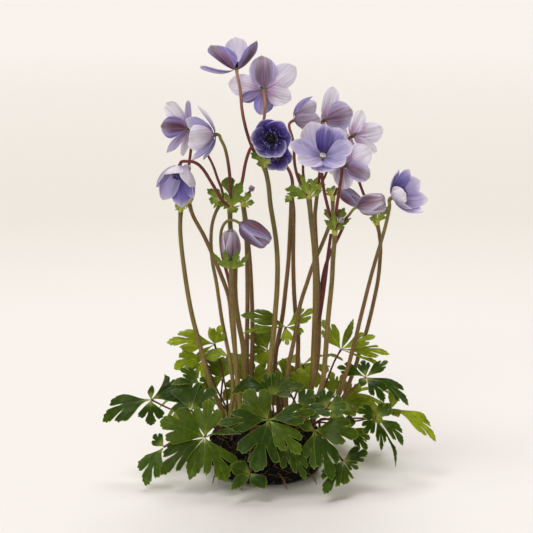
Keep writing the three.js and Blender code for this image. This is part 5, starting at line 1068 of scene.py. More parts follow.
def make_bloom(bloom, source):
    shape = Shape()
    centre = place(leaned(bloom["at"], lean_of(bloom["name"])))
    frame = facing(bloom["faces"])
    overlap = 0.0 if bloom["name"] == "bloom_bowl" else TEPAL_OVERLAP_TURN
    styles = TEPAL_STYLES[bloom["name"]]
    for layer in (0, 1):
        rows = [(row, styles[i]) for i, row in enumerate(bloom["tepals"]) if row[5] == layer]
        turns = [math.radians(row[0]) for row, _ in rows]
        for row, style in rows:
            add_tepal(shape, centre, frame, row, turns, overlap, STYLES[style], source)
    axis = frame[0]
    add_ball(shape, centre - axis * 0.1, HEART_RADIUS, COLOURS["foot_green"], axis=axis, stretch=0.6,
             kind=BACK)
    make_petals(shape, bloom["name"])


def add_pale_eye(shape, centre, frame):
    """The small pale eye of the bloom that stands open like a bowl."""
    axis, sideways, upward = frame
    add_ball(shape, centre + axis * 1.9, 1.0, COLOURS["hair"], axis=axis, stretch=1.1, rough=0.5)
    for j in range(PALE_EYE_STAMENS):
        out = round_from(sideways, upward, j / PALE_EYE_STAMENS * math.tau)
        line = [centre + axis * up + out * away for up, away in ((1.0, 0.8), (2.2, 1.6), (2.9, 2.0))]
        add_tube(shape, line, lambda share: 0.14, 4, lambda share: COLOURS["margin"])
        add_ball(shape, line[-1], 0.34, COLOURS["margin"], rows=4, sides=6)


def add_eye(shape, centre, frame, size, extra, source):
    """Rings of stamens around the dome of carpels."""
    axis, sideways, upward = frame
    rim = 0.6 + size * 0.7
    dome = min(LARGEST_DOME, size * 0.42)
    add_ball(shape, centre + axis * (rim * 0.55 + 0.6), dome, COLOURS["carpel_dark"], rows=10, sides=16,
             axis=axis, stretch=max(1.0, (rim * 0.45 + 1.6) / dome), rough=0.3)
    top = centre + axis * (rim + 1.0)
    for j in range(CARPEL_COUNT):
        away = math.sqrt((j + 0.5) / CARPEL_COUNT) * dome
        out = round_from(sideways, upward, j * CARPEL_TURN)
        paint = coated("carpel", ("carpel_dark", away / dome * 0.8))
        add_ball(shape, top + out * away + axis * (1.2 - 1.3 * (away / dome) ** 2), CARPEL_RADIUS, paint,
                 rows=4, sides=6, axis=axis, stretch=1.5)
    count = int(size * STAMENS_PER_MM)
    for j in range(count):
        away = size * (0.50 + 0.62 * source.random())
        out = round_from(sideways, upward, j / count * math.tau * STAMEN_TURNS + source.uniform(-0.12, 0.12))
        height = extra + rim + 1.5 - 0.9 * (away / size) ** 2 + source.uniform(-0.5, 0.4)
        foot = centre + axis * 1.2 + out * 1.1
        head = centre + axis * height + out * away
        middle = foot.lerp(head, 0.55) + axis * (0.12 * size) - out * 0.2
        add_tube(shape, smooth_line([foot, middle, head], STAMEN_SPACING),
                 lambda share: FILAMENT_RADIUS - 0.05 * share, 4, lambda share: COLOURS["filament"])
        tilt = (axis + out * 0.5).normalized()
        # Some anthers are lightened at random: partly pollen, partly painted glints of light
        paint = coated("anther", ("anther_pollen_glint", source.random() ** 2))
        add_ball(shape, head + tilt * 0.3, ANTHER_RADIUS, paint, rows=5, sides=7, axis=tilt, stretch=1.7)


def make_eye(bloom, source):
    shape = Shape()
    name = bloom["name"]
    centre = place(leaned(bloom["at"], lean_of(name)))
    frame = facing(bloom["faces"])
    if bloom["eye"]:
        add_eye(shape, centre, frame, bloom["eye"], LONG_STAMENS.get(name, 0), source)
    else:
        add_pale_eye(shape, centre, frame)
    shape.make("stamens_" + name, ["stamen"], "stamen", [name.replace("bloom", "eye")])


def bud_ends(bud):
    """A bud keeps its own tilt: both of its ends move as far as its base does."""
    base = leaned(bud["base"], lean_of(bud["name"]))
    tip = [bud["tip"][0], bud["tip"][1], bud["tip"][2] + base[2] - bud["base"][2]]
    return place(base), place(tip)


def add_bud(shape, base, tip, radius, opening, style, source):
    """A bud of two layers of tepals around a core. The opening, from 0 to 1, parts the tepals at its tip."""
    axis = tip - base
    length = axis.length
    axis.normalize()
    side, other = square_pair(axis, 0.9)
    tip_radii = (0.79 + opening * 0.12, 0.63 + opening * 0.3, 0.40 + opening * 0.3)
    profile = [*BUD_PROFILE, *zip((0.86, 0.94, 1.0), tip_radii)]
    start = source.random()
    for layer in (0, 1):
        for j in range(BUD_TEPALS):
            middle = (j + 0.5 * layer + start) / BUD_TEPALS * math.tau
            seed = source.random()
            reach = 1.0 + source.uniform(-0.02, 0.03) * (1 - layer)
            sheet = []
            for i in range(BUD_ROWS + 1):
                share = i / BUD_ROWS
                wide = math.sin(math.pi * (0.16 + 0.74 * share) ** 0.75) ** 0.6
                k = 0
                along = min(share * reach, 1.0)
                while k + 2 < len(profile) and profile[k + 1][0] < along:
                    k += 1
                (x0, r0), (x1, r1) = profile[k], profile[k + 1]
                round_radius = radius * (r0 + (r1 - r0) * clamp((along - x0) / (x1 - x0)))
                parting = opening * 1.6 * ease(0.75, 1.0, share) * (1 - layer)
                centre = base + axis * (share * reach * length)
                for column in range(BUD_COLUMNS + 1):
                    out = column / BUD_COLUMNS * 2 - 1
                    outward = round_from(side, other, middle + out * BUD_TEPAL_TURN * wide)
                    lap = 0.28 - 0.42 * layer + 0.22 * out * (1 if layer == 0 else -1)
                    outside = outer_paint(0.12 + share * 0.8, abs(out), style)
                    outside = blend(outside, COLOURS["margin"], ease(0.84, 1.0, abs(out)) * 0.6)
                    sheet.append((centre + outward * (round_radius + lap + parting), outward * -1,
                                  (inner_paint(share, abs(out), style), outside),
                                  (out * radius * 0.9, share * length, seed)))
            add_shell(shape, sheet, grid_faces(BUD_ROWS, BUD_COLUMNS, ((1, 0), (0, 0), (0, 1), (1, 1))),
                      TEPAL_THICKNESS)
    core = radius * BUD_CORE
    add_ball(shape, base.lerp(tip, 0.46), core, COLOURS["inner_base"], axis=axis,
             stretch=length * 0.44 / core)
    add_ball(shape, base + axis * 0.4, radius * 0.3, COLOURS["foot_green"], axis=axis, stretch=0.7, kind=BACK)


def make_bud(bud, source):
    shape = Shape()
    base, tip = bud_ends(bud)
    add_bud(shape, base, tip, bud["radius"], bud["part"], STYLES[BUD_STYLES[bud["name"]]], source)
    make_petals(shape, bud["name"])


def leaflet_frame(joint, tip, width, face, arch, outline):
    """Where a leaflet is, the directions along, across and out of it, and its sizes."""
    along = tip - joint
    length = along.length
    along.normalize()
    normal = Vector(face)
    normal = (normal - along * normal.dot(along)).normalized()
    return {"joint": joint, "along": along, "normal": normal, "across": along.cross(normal), "length": length,
            "width": width, "arch": arch, "outline": outline}


def leaflet_lift(frame, reach, out):
    """How far a point of a leaflet stands out of its plane by arch, fold and roll."""
    share = reach / frame["length"]
    return (frame["arch"] * LEAFLET_ARCH * frame["length"] * 4 * share * (1 - share)
            + (LEAFLET_FOLD * abs(out) + LEAFLET_ROLL * out - LEAFLET_ROUND * out * out) * min(1, 3 * share))


def room_beside(frame, others, reach, side):
    """How far a point of one leaflet may stand out before it meets the plane midway to a neighbour."""
    room = math.inf
    for other in others:
        toward = frame["across"].dot(other["along"]) * side
        if toward <= 0.01:
            continue
        turn_cos = frame["along"].dot(other["along"])
        leaning = frame["normal"].dot(other["along"])
        slit = LEAFLET_SLIT * math.sqrt(max(0.0, 2 - 2 * turn_cos)) + LEAF_THICKNESS / 2 * abs(leaning)
        spare = reach * (1 - turn_cos) - leaflet_lift(frame, reach, 0) * leaning - slit
        room = min(room, spare / max(toward + LEAFLET_FOLD * leaning, 0.01))
    return max(room, LEAST_ROOM)


def edge_distance(x, y, outline):
    """How far a flat point is from the nearest edge of a closed outline."""
    best = math.inf
    for (ax, ay), (bx, by) in zip(outline, outline[1:] + outline[:1]):
        dx, dy = bx - ax, by - ay
        size = dx * dx + dy * dy
        share = clamp(((x - ax) * dx + (y - ay) * dy) / size) if size else 0
        best = min(best, (x - ax - dx * share) ** 2 + (y - ay - dy * share) ** 2)
    return math.sqrt(best)


def inside(x, y, outline):
    """Whether a flat point is inside a closed outline."""
    found = False
    for (ax, ay), (bx, by) in zip(outline, outline[1:] + outline[:1]):
        if (ay > y) != (by > y) and x < (bx - ax) * (y - ay) / (by - ay) + ax:
            found = not found
    return found


def leaflet_outline(frame, others, source):
    """The outline of a leaflet, from its joint round to its joint. Its two sides differ a little."""
    length = frame["length"]
    half = frame["width"] / 2 * LEAFLET_FULLNESS
    sides = []
    for side in (1, -1):
        stretch = 1 + source.uniform(-0.04, 0.04)
        edge = []
        for share, out in OUTLINES[frame["outline"]]:
            reach = share * length * (1 + (stretch - 1) * math.sin(math.pi * share))
            wanted = out * half * source.uniform(0.95, 1.06)
            room = room_beside(frame, others, reach, side) * LEAFLET_OVERLAP
            edge.append((reach, side * min(wanted, room)))
        sides.append(edge)
    return [(0.3, 0.0), *sides[1], (length, 0.0), *reversed(sides[0])]


def inner_points(outline, length, half, spacing, source):
    """Points spread evenly inside an outline, a little out of line, with their distance from its edge."""
    found = []
    x = spacing
    row = 0
    while x < length:
        y = -half + (spacing / 2 if row % 2 else 0)
        while y < half:
            px = x + source.uniform(-0.1, 0.1) * spacing
            py = y + source.uniform(-0.1, 0.1) * spacing
            if inside(px, py, outline):
                margin = edge_distance(px, py, outline)
                if margin > spacing * 0.4:
                    found.append((px, py, margin))
            y += spacing
        x += spacing * 0.87
        row += 1
    return found


def add_leaflet(shape, frame, others, thickness, paints, source):
    """One leaflet or bract: lobed, toothed, folded along its middle, arched and slightly quilted."""
    top, under, foot, foot_span, tip = paints
    length = frame["length"]
    half = frame["width"] / 2 * LEAFLET_FULLNESS
    outline = leaflet_outline(frame, others, source)
    spacing = clamp(math.sqrt(length * frame["width"]) / 13, 0.7, 1.7)
    spread = [*((x, y, 0.0) for x, y in outline), *inner_points(outline, length, half, spacing, source)]
    count = len(outline)
    loop = [(i, (i + 1) % count) for i in range(count)]
    corners = [Vector((x, y)) for x, y, _ in spread]
    flat, _, triangles, origins, *_ = geometry.delaunay_2d_cdt(corners, loop, [], 0, 1e-5, True)
    wave_turn = source.random() * math.tau
    droop = source.uniform(0.0, 0.05) * length
    vein_gap = clamp(length / 9, 1.6, 3.4)
    sheet = []
    for (reach, out), known in zip(flat, origins):
        margin = spread[known[0]][2] if known else 0.0
        share = reach / length
        away = abs(out) / half
        lift = leaflet_lift(frame, reach, out)
        quilt_turn = (reach - abs(out) * 1.1) / vein_gap * math.tau
        lift += 0.10 * vein_gap * math.sin(quilt_turn) * min(1, margin / 2)
        lift += 0.035 * length * away * away * math.sin(wave_turn + share * 8 + out * 0.2)
        lift -= droop * share ** 4
        point = frame["joint"] + frame["along"] * reach + frame["across"] * out + frame["normal"] * lift
        near = 1 - ease(0.0, foot_span / length, share)
        # Toward the tip the top blends into the tip paint, which on leaves is painted light and on bracts is
        # the darker bract_tip colour
        front = blend(blend(top, tip, ease(0.6, 1.0, share)), foot, near * 0.8)
        sheet.append((point, frame["normal"], (front, blend(under, foot, near * 0.7)), (out, reach, margin)))
    faces = []
    for face in triangles:
        (ax, ay), (bx, by), (cx, cy) = (flat[i] for i in face)
        turn = (bx - ax) * (cy - ay) - (by - ay) * (cx - ax)
        if abs(turn) > 1e-7 and inside((ax + bx + cx) / 3, (ay + by + cy) / 3, outline):
            faces.append(list(face) if turn > 0 else list(reversed(face)))
    add_shell(shape, sheet, faces, thickness)


def add_blade(shape, joint, leaflets, thickness, paints_of, source):
    """The leaflets that spread from one joint."""
    frames = [leaflet_frame(joint, *row) for row in leaflets]
    for frame in frames:
        others = [other for other in frames if other is not frame]
        add_leaflet(shape, frame, others, thickness, paints_of(source), source)


def leaf_paints(source, young_backlit):
    """Paints of a leaflet's top, underside and foot, the length of its foot in millimetres, and its tip. The
    tip is the top lightened by 1.3 as painted light, which leaves the leaflet darker, as painted shade,
    toward its foot.
    """
    # Rear leaves get the paler yellow-green: partly young colour, partly painted glow of light through them
    top = coated("leaf_dark", ("leaf_mid", source.random()), ("leaf_blue", source.random() ** 2 * 0.7),
                 ("leaf_young_backlit", young_backlit * source.uniform(0.35, 1.0) + source.random() ** 4 * 0.12))
    tone = source.uniform(0.7, 1.08)
    top = [part * tone for part in top]
    # The tip paint is painted light: the top lightened by 1.3, so a leaflet shows painted shade toward its
    # foot
    return top, COLOURS["leaf_under"], COLOURS["leaf_foot"], 8, [part * 1.3 for part in top]


def bract_paints(source):
    """The same paints for a bract."""
    top = coated("bract", ("bract_tip", source.random() * 0.5))
    return top, coated("bract", ("bract_foot", 0.6)), COLOURS["bract_foot"], 9, COLOURS["bract_tip"]


def make_leaf(leaf, source):
    shape = Shape()
    foot = Vector((*leaf["foot"], FOOT_TOP))
    start = Vector((*leaf["foot"], FOOT_BOTTOM))
    young_backlit = YOUNG_AND_BACKLIT_SHARE if leaf["name"] in YOUNG_AND_BACKLIT_LEAVES else 0.0
    reach = REAR_LEAF_REACH if leaf["name"] in REAR_LEAVES else LEAF_REACH
    for petiole, joint, leaflets in leaf["blades"]:
        joint = place(joint)
        line = smooth_line([start, foot, *[place(point) for point in petiole], joint], SCAPE_SPACING)
        tone = source.random()

        def radius_at(share):
            return PETIOLE_RADIUS * (1.25 - 0.45 * ease(0.0, 0.5, share) + 0.25 * ease(0.94, 1.0, share))

        def paint_at(share):
            return coated("petiole", ("petiole_green", 0.5 * tone * math.sin(share * 3.1)))

        add_tube(shape, line, radius_at, PETIOLE_SIDES, paint_at, kind=STALK)
        add_hairs(shape, line, radius_at, PETIOLE_HAIRS, source)
        rows = [[joint + (place(tip) - joint) * reach, width * reach, face, arch, outline]
                for tip, width, face, arch, outline in leaflets]
        add_blade(shape, joint, rows, LEAF_THICKNESS, lambda s: leaf_paints(s, young_backlit), source)
    shape.make("foliage_" + leaf["name"], ["leaf_top", "leaf_under", "stalk", "hair"], "leaf", [leaf["name"]])


def arrival(limb):
    """Where a pedicel meets its bloom or bud, and the point it comes in through."""
    if "bloom" in limb:
        target = next(b for b in BLOOMS if b["name"] == limb["bloom"])
        centre = place(leaned(target["at"], lean_of(limb["bloom"])))
        axis = facing(target["faces"])[0]
        return [centre - axis * BLOOM_NECK, centre - axis * (BLOOM_BACK + NODE_GAP)]
    target = next(b for b in BUDS if b["name"] == limb["bud"])
    base, tip = bud_ends(target)
    return [base - (tip - base).normalized() * BUD_NECK, base]


def scape_paint(height, tone):
    return coated("scape_low", ("scape_mid", ease(40, 130, height)), ("scape_red", tone * 0.8),
                  ("scape_high", ease(130, 230, height) * (1 - 0.5 * tone)))


def pedicel_paint(limb, share):
    name = limb.get("bloom") or limb.get("bud")
    return coated("pedicel", ("pedicel_pale", PALE_PEDICELS.get(name, 0.0) * ease(0.35, 1.0, share)),
                  ("pedicel_olive", OLIVE_PEDICELS.get(name, 0.0) * ease(0.4, 0.9, share)))


def add_limb(shape, stem, limb, source):
    """A scape that rises from the ball, or a pedicel, with its hairs and the bead bud some of them end in."""
    path = [stem["whorl"] if point == WHORL else point for point in limb["at"]]
    points = [place(leaned(point, stem["lean"])) for point in path]
    rises = path[0][1] < SCAPE_START
    if rises:
        points = [Vector((*stem["foot"], height)) for height in (FOOT_BOTTOM, FOOT_TOP)] + points
    if "bloom" in limb or "bud" in limb:
        points += arrival(limb)
    start, end = limb["r"]
    if rises and "bloom" not in limb:
        line = smooth_line(points, SCAPE_SPACING)
    else:
        line = rounded_line(smooth_line(points, PEDICEL_SPACING))
    low, high = line[0].z, line[-1].z

    def radius_at(share):
        foot_swell = 0.3 * (1 - ease(0.0, 0.12, share)) if rises else 0.0
        top_swell = 0.35 * ease(0.96, 1.0, share) if ("bloom" in limb or rises) else 0.0
        return start + (end - start) * share + foot_swell + top_swell

    def paint_at(share):
        if not rises:
            return pedicel_paint(limb, share)
        paint = scape_paint(low + (high - low) * share, STEM_TONES[stem["name"]])
        return blend(paint, COLOURS["pedicel_olive"], ease(0.7, 1, share)) if "bloom" in limb else paint

    add_tube(shape, line, radius_at, SCAPE_SIDES if rises else PEDICEL_SIDES, paint_at, kind=STALK,
             ribs=SCAPE_RIBS if rises else 0.0)
    add_hairs(shape, line, radius_at, SCAPE_HAIRS if rises else PEDICEL_HAIRS, source)
    if "bead" in limb:
        size = limb["bead"]
        along = (points[-1] - points[-2]).normalized()
        base, tip = points[-1] - along * size, points[-1] + along * (size * BEAD_LENGTH)
        add_bud(shape, base, tip, size, BEAD_OPENING, STYLES["dark"], source)


def make_stem(stem, source):
    shape = Shape()
    whorl = place(leaned(stem["whorl"], stem["lean"]))
    for limb in stem["limbs"]:
        add_limb(shape, stem, limb, source)
    if stem["name"] != "stem_buds_left":
        add_ball(shape, whorl, WHORL_RADIUS, COLOURS["bract_foot"], rows=8, sides=12, stretch=1.6, rough=0.2)
    rows = []
    for tip, width, *face in stem["bracts"]:
        rows.append([place(leaned(tip, stem["lean"])), width * BRACT_FULLNESS,
                     face[0] if face else BRACT_FACE, BRACT_ARCH,
                     "bract" if width < PLAIN_BRACT else "plain"])
    add_blade(shape, whorl, rows, BRACT_THICKNESS, bract_paints, source)
    shape.make("limbs_" + stem["name"], ["bract_top", "bract_under", "stalk", "hair"], "stem", [stem["name"]])


def ball_radius(height):
    """Radius of the root ball at a height, in millimetres."""
    for (r0, z0), (r1, z1) in zip(BALL_PROFILE, BALL_PROFILE[1:]):
        if height <= z1:
            return BALL_RADIUS * (r0 + (r1 - r0) * (height - z0) / (z1 - z0))
    return 0.0


def ball_skin(turn, share):
    """A point on the rough skin of the ball."""
    if share < BALL_FOOT_SHARE:
        radius = ball_radius(0) * share / BALL_FOOT_SHARE
        return Vector((math.cos(turn) * radius, math.sin(turn) * radius, 0.0))
    if share < BALL_SHOULDER_SHARE:
        height = (share - BALL_FOOT_SHARE) / (BALL_SHOULDER_SHARE - BALL_FOOT_SHARE) * BALL_SHOULDER
        radius = ball_radius(height)
    else:
        away = 1 - (share - BALL_SHOULDER_SHARE) / (1 - BALL_SHOULDER_SHARE)
        radius = ball_radius(BALL_SHOULDER) * away
        height = BALL_SHOULDER + BALL_DOME - BALL_DOME * away ** 2
    point = Vector((math.cos(turn) * radius, math.sin(turn) * radius, height))
    rough = 2.2 * noise.noise(point * 0.09) + 1.1 * noise.noise(point * 0.27) + 0.6 * noise.noise(point * 0.7)
    outward = Vector((point.x, point.y, max(0.0, height - 30) * 2)).normalized()
    return point + outward * (rough * ease(0.1, 0.2, share))


def make_soil(source):
    """The ball itself with crumbs on its skin."""
    shape = Shape()
    for i in range(1, BALL_ROWS):
        for j in range(BALL_TURNS):
            point = ball_skin(j / BALL_TURNS * math.tau, i / BALL_ROWS)
            shape.add(point, coated("soil", ("soil_light", 0.5 + noise.noise(point * 0.2))), tuple(point))
    low = shape.add(Vector((0, 0, 0)), COLOURS["soil"])
    high = shape.add(ball_skin(0, 0.9999), COLOURS["soil"])
    shape.join_rings(0, BALL_ROWS - 1, BALL_TURNS)
    last = (BALL_ROWS - 2) * BALL_TURNS
    for j in range(BALL_TURNS):
        k = (j + 1) % BALL_TURNS
        shape.face([low, k, j])
        shape.face([last + j, last + k, high])
    for _ in range(CRUMB_COUNT):
        share = 0.13 + 0.85 * source.random() ** 0.8
        point = ball_skin(source.random() * math.tau, share)
        size = 0.5 + 1.5 * source.random() ** 3
        paint = coated("soil", ("soil_light", source.random() ** 1.5))
        if source.random() < ROOTY_CRUMBS:
            paint = COLOURS["root_dark"]
        if point.z > size:
            axis = Vector((source.uniform(-1, 1), source.uniform(-1, 1), 1)).normalized()
            add_ball(shape, point, size, paint, rows=4, sides=6, rough=1.1, axis=axis,
                     stretch=source.uniform(0.5, 1.3))
    shape.make("soil", ["soil"], "soil", ["root_ball"], sharp=SOIL_SHARP_ANGLE)


def make_roots(source):
    """Root ends that stand out of the ball, and fine roots that wander over its skin."""
    roots = Shape()
    for start, end, thickness in ROOTS:
        first = Vector((start[0] * 0.86, start[2] * 0.86, start[1]))
        final = Vector((end[0], end[2], end[1] - 0.6))
        bend = first.lerp(final, 0.6) + Vector((end[0] * 0.05, end[2] * 0.05, 2))
        add_tube(roots, smooth_line([first, bend, final], 1.5),
                 lambda share: thickness * (0.75 - 0.45 * share), 7,
                 lambda share: coated("root_dark", ("root", share)))
    for _ in range(FINE_ROOT_COUNT):
        turn = source.random() * math.tau
        share = source.uniform(0.14, 0.66)
        drift = source.uniform(-1, 1)
        line = []
        for k in range(source.randint(8, 18)):
            point = ball_skin(turn, clamp(share, 0.105, 0.75))
            outward = Vector((point.x, point.y, 0)).normalized()
            line.append(point + outward * (0.25 + 0.5 * math.sin(k * 0.9 + turn * 5)))
            turn += 0.045 * drift + source.uniform(-0.03, 0.03)
            share -= source.uniform(0.0, 0.022)
        line = [point for point in line if point.z > 0.7]
        if len(line) > 3:
            size = source.uniform(0.18, 0.42)
            paint = coated("root_dark", ("root", source.random()))
            add_tube(roots, smooth_line(line, 1.8), lambda share: size * (1 - 0.6 * share), 5,
                     lambda share: paint)
    roots.make("roots", ["root"], "soil", [])


class Nodes:
    """A short way to write a material's nodes."""

    def __init__(self, name):
        self.material = bpy.data.materials.new(name)
        self.material.use_nodes = True
        self.tree = self.material.node_tree
        self.tree.nodes.clear()

    def add(self, kind, inputs=None, **settings):
        node = self.tree.nodes.new("ShaderNode" + kind)
        for key, value in settings.items():
            setattr(node, key, value)
        for key, value in (inputs or {}).items():
            if isinstance(value, bpy.types.NodeSocket):
                self.tree.links.new(value, node.inputs[key])
            else:
                node.inputs[key].default_value = value
        return node

    def math(self, operation, first, second=0.0):
        return self.add("Math", {0: first, 1: second}, operation=operation).outputs[0]

    def plus(self, first, second):
        return self.math("ADD", first, second)

    def times(self, first, second):
        return self.math("MULTIPLY", first, second)

    def noise(self, vector, scale, detail):
        return self.add("TexNoise", {"Vector": vector, "Scale": scale, "Detail": detail,
                                     "Roughness": 0.6}).outputs["Fac"]

    def ramp(self, value, low, high, to_low, to_high):
        return self.add("MapRange", {"Value": value, "From Min": low, "From Max": high, "To Min": to_low,
                                     "To Max": to_high}).outputs["Result"]

    def mixed(self, share, first, second, blend_type="MIX"):
        return self.add("Mix", {0: share, 6: first, 7: second}, data_type="RGBA",
                        blend_type=blend_type).outputs[2]

    def shaded(self, paint, shade):
        return self.mixed(1.0, paint, shade, "MULTIPLY")

    def stretched(self, vector, scale):
        return self.add("VectorMath", {0: vector, 1: scale}, operation="MULTIPLY").outputs[0]

    def attribute(self, name, output):
        return self.add("Attribute", attribute_name=name).outputs[output]

    def on_piece(self):
        return self.add("TexCoord").outputs["Object"]

    def finish(self, colour, roughness, specular, height=None, bump=0.0, distance=0.0, through=0.0, **more):
        """Joins the nodes to the output. A share of the light goes through the sheet."""
        inputs = {"Base Color": colour, "Roughness": roughness, "Specular IOR Level": specular, **more}
        if height is not None:
            inputs["Normal"] = self.add("Bump", {"Height": height, "Strength": bump,
                                                 "Distance": distance}).outputs[0]
        shader = self.add("BsdfPrincipled", inputs).outputs[0]
        if through:
            behind = self.add("BsdfTranslucent", {"Color": colour}).outputs[0]
            shader = self.add("MixShader", {0: through, 1: shader, 2: behind}).outputs[0]
        self.add("OutputMaterial", {"Surface": shader})
        return self.material


def tepal_material(name, through, streaks):
    """Tepals: their paint with long streaks, which fade where a tepal is pale and away from its foot."""
    nodes = Nodes(name)
    paint = nodes.attribute("paint", "Color")
    spot = nodes.attribute("spot", "Vector")
    broad = nodes.noise(nodes.stretched(spot, TEPAL_BROAD_STREAKS), 1.0, 2)
    fine = nodes.noise(nodes.stretched(spot, TEPAL_FINE_STREAKS), 1.0, 4)
    veins = nodes.plus(nodes.times(broad, 0.5), nodes.times(fine, 0.5))
    shade = nodes.ramp(veins, 0.4, 0.6, *streaks)
    pale = nodes.ramp(nodes.add("RGBToBW", {0: paint}).outputs[0], 0.2, 0.85, 0.0, 0.75)
    far = nodes.ramp(nodes.add("SeparateXYZ", {0: spot}).outputs[1], 5.0, 20.0, 0.35, 1.0)
    calm = nodes.times(nodes.math("SUBTRACT", 1.0, shade), nodes.times(pale, far))
    colour = nodes.shaded(paint, nodes.plus(shade, calm))
    return nodes.finish(colour, 0.52, 0.35, fine, bump=0.35, distance=0.0004, through=through,
                        **{"Sheen Weight": 0.12, "Sheen Roughness": 0.4})


def leaf_material(name, through, roughness, vein_light, groove):
    """Leaflets and bracts: a midrib with side veins, darker and lighter patches, and a paler rim."""
    nodes = Nodes(name)
    paint = nodes.attribute("paint", "Color")
    spot = nodes.attribute("spot", "Vector")
    across, along, margin = nodes.add("SeparateXYZ", {0: spot}).outputs
    away = nodes.math("ABSOLUTE", across)
    rib = nodes.ramp(away, 0.15, 0.55, 1.0, 0.0)
    slant = nodes.math("SUBTRACT", along, nodes.times(away, VEIN_SLANT))
    near = nodes.math("PINGPONG", slant, VEIN_HALF_GAP)
    twig = nodes.times(nodes.ramp(near, 0.08, 0.32, 1.0, 0.0), nodes.ramp(margin, 0.2, 1.6, 0.0, 0.75))
    veins = nodes.math("MAXIMUM", rib, twig)
    patch = nodes.noise(spot, 0.16, 3)
    grain = nodes.noise(spot, 1.5, 4)
    shade = nodes.plus(nodes.ramp(patch, 0.3, 0.7, 0.66, 1.24), nodes.ramp(grain, 0.3, 0.7, -0.10, 0.10))
    colour = nodes.shaded(paint, shade)
    lighter = nodes.shaded(colour, VEIN_TINT)
    colour = nodes.mixed(nodes.times(veins, vein_light), colour, lighter)
    colour = nodes.mixed(nodes.ramp(margin, 0.1, 0.6, 0.45, 0.0), colour, (*COLOURS["leaf_margin"], 1.0))
    height = nodes.plus(nodes.times(veins, groove), nodes.times(grain, 0.5))
    return nodes.finish(colour, roughness, 0.13, height, bump=0.45, distance=0.0004, through=through)


def stalk_material(name):
    """Scapes, pedicels and petioles: fine streaks along them, with darker and lighter patches."""
    nodes = Nodes(name)
    paint = nodes.attribute("paint", "Color")
    spot = nodes.on_piece()
    streak = nodes.noise(nodes.stretched(spot, STALK_STREAKS), 1.0, 3)
    patch = nodes.noise(nodes.stretched(spot, STALK_PATCHES), 1.0, 2)
    shade = nodes.plus(nodes.ramp(streak, 0.3, 0.7, 0.68, 1.22), nodes.ramp(patch, 0.3, 0.7, -0.15, 0.15))
    return nodes.finish(nodes.shaded(paint, shade), 0.5, 0.2, streak, bump=0.5, distance=0.0003)


def plain_material(name, scale, shades, roughness, bump=0.4, distance=0.0003, through=0.0):
    """Paint with an even grain, between the darkest and the lightest of its shades."""
    nodes = Nodes(name)
    paint = nodes.attribute("paint", "Color")
    grain = nodes.noise(nodes.on_piece(), scale, 5)
    colour = nodes.shaded(paint, nodes.ramp(grain, 0.3, 0.7, *shades))
    return nodes.finish(colour, roughness, 0.15, grain, bump=bump, distance=distance, through=through)


def floor_material():
    nodes = Nodes("floor")
    away = nodes.add("VectorMath", {0: nodes.on_piece()}, operation="LENGTH").outputs["Value"]
    # The floor darkens into a band of painted shade in the middle distance and turns pale again far off
    colour = nodes.mixed(nodes.ramp(away, *FLOOR_TO_SHADE_BAND, 0.0, 1.0), FLOOR_NEAR, FLOOR_SHADE_BAND)
    colour = nodes.mixed(nodes.ramp(away, *FLOOR_TO_FAR, 0.0, 1.0), colour, FLOOR_FAR)
    return nodes.finish(colour, 0.75, 0.1)


def make_stage():
    """A pale floor that runs past the edge of the view."""
    mesh = bpy.data.meshes.new("floor")
    turns = [i / FLOOR_SIDES * math.tau for i in range(FLOOR_SIDES)]
    points = [(math.cos(turn) * FLOOR_RADIUS, math.sin(turn) * FLOOR_RADIUS, 0) for turn in turns]
    mesh.from_pydata(points, [], [list(range(FLOOR_SIDES))])
    mesh.materials.append(floor_material())
    floor = bpy.data.objects.new("floor", mesh)
    bpy.context.scene.collection.objects.link(floor)


def add_lamp(name, position, spread, strength, colour):
    """A broad soft light that comes from one side and falls evenly on the plant and on the whole floor."""
    data = bpy.data.lights.new(name, "SUN")
    data.angle = math.radians(spread)
    data.energy = strength
    data.color = colour
    lamp = bpy.data.objects.new(name, data)
    lamp.location = position
    lamp.rotation_mode = "QUATERNION"
    lamp.rotation_quaternion = (-Vector(position)).to_track_quat("-Z", "Y")
    bpy.context.scene.collection.objects.link(lamp)


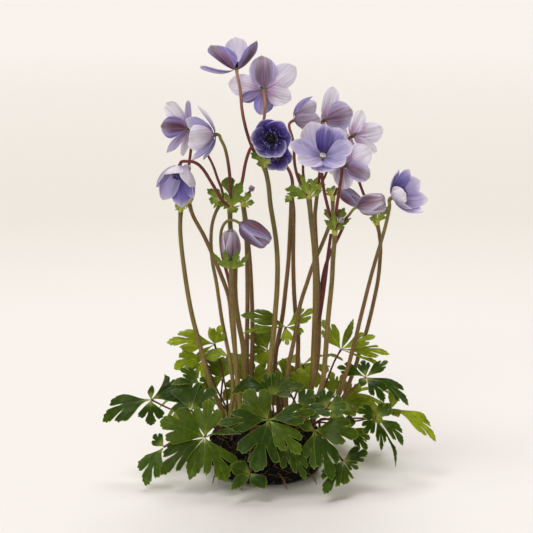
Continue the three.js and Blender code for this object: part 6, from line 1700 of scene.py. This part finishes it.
def make_camera():
    data = bpy.data.cameras.new("camera")
    data.lens = CAMERA_LENS
    data.sensor_width = CAMERA_SENSOR
    data.clip_start, data.clip_end = CAMERA_CLIP
    camera = bpy.data.objects.new("camera", data)
    target = Vector((0, 0, SIGHT_HEIGHT * MM))
    back = Vector((0, -math.cos(SIGHT_TILT), math.sin(SIGHT_TILT)))
    camera.location = target + back * (SIGHT_DISTANCE * MM)
    camera.rotation_mode = "QUATERNION"
    camera.rotation_quaternion = (-back).to_track_quat("-Z", "Y")
    bpy.context.scene.collection.objects.link(camera)
    bpy.context.scene.camera = camera


def make_world():
    world = bpy.data.worlds.new("studio")
    world.use_nodes = True
    background = world.node_tree.nodes["Background"]
    background.inputs["Color"].default_value = (*srgb(WORLD_COLOUR), 1.0)
    background.inputs["Strength"].default_value = WORLD_STRENGTH
    bpy.context.scene.world = world
    bpy.context.scene.view_settings.view_transform = "Standard"


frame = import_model()
make_camera()
make_world()
make_stage()
for name, lamp in LAMPS.items():
    add_lamp(name, *lamp)

MATERIALS = {name: make(name, **settings) for name, make, settings in (
    ("tepal_inner", tepal_material, dict(through=0.5, streaks=(0.68, 1.27))),
    ("tepal_outer", tepal_material, dict(through=0.5, streaks=(0.5, 1.36))),
    ("stamen", plain_material, dict(scale=2500, shades=(0.7, 1.4), roughness=0.42)),
    ("leaf_top", leaf_material, dict(through=0.24, roughness=0.28, vein_light=0.5, groove=-0.7)),
    ("leaf_under", leaf_material, dict(through=0.24, roughness=0.58, vein_light=0.36, groove=0.7)),
    ("bract_top", leaf_material, dict(through=0.22, roughness=0.5, vein_light=0.4, groove=-0.7)),
    ("bract_under", leaf_material, dict(through=0.22, roughness=0.6, vein_light=0.35, groove=0.7)),
    ("stalk", stalk_material, {}),
    ("hair", plain_material, dict(scale=900, shades=(0.9, 1.1), roughness=0.6, bump=0.1, through=0.4)),
    ("soil", plain_material, dict(scale=700, shades=(0.45, 1.6), roughness=0.85, bump=0.9, distance=0.0012)),
    ("root", plain_material, dict(scale=900, shades=(0.6, 1.3), roughness=0.7, bump=0.5)),
)}

source = random.Random(SEED)
make_soil(source)
make_roots(source)
for stem in STEMS:
    make_stem(stem, source)
for bloom in BLOOMS:
    make_bloom(bloom, source)
    make_eye(bloom, source)
for bud in BUDS:
    make_bud(bud, source)
for leaf in LEAVES:
    make_leaf(leaf, source)
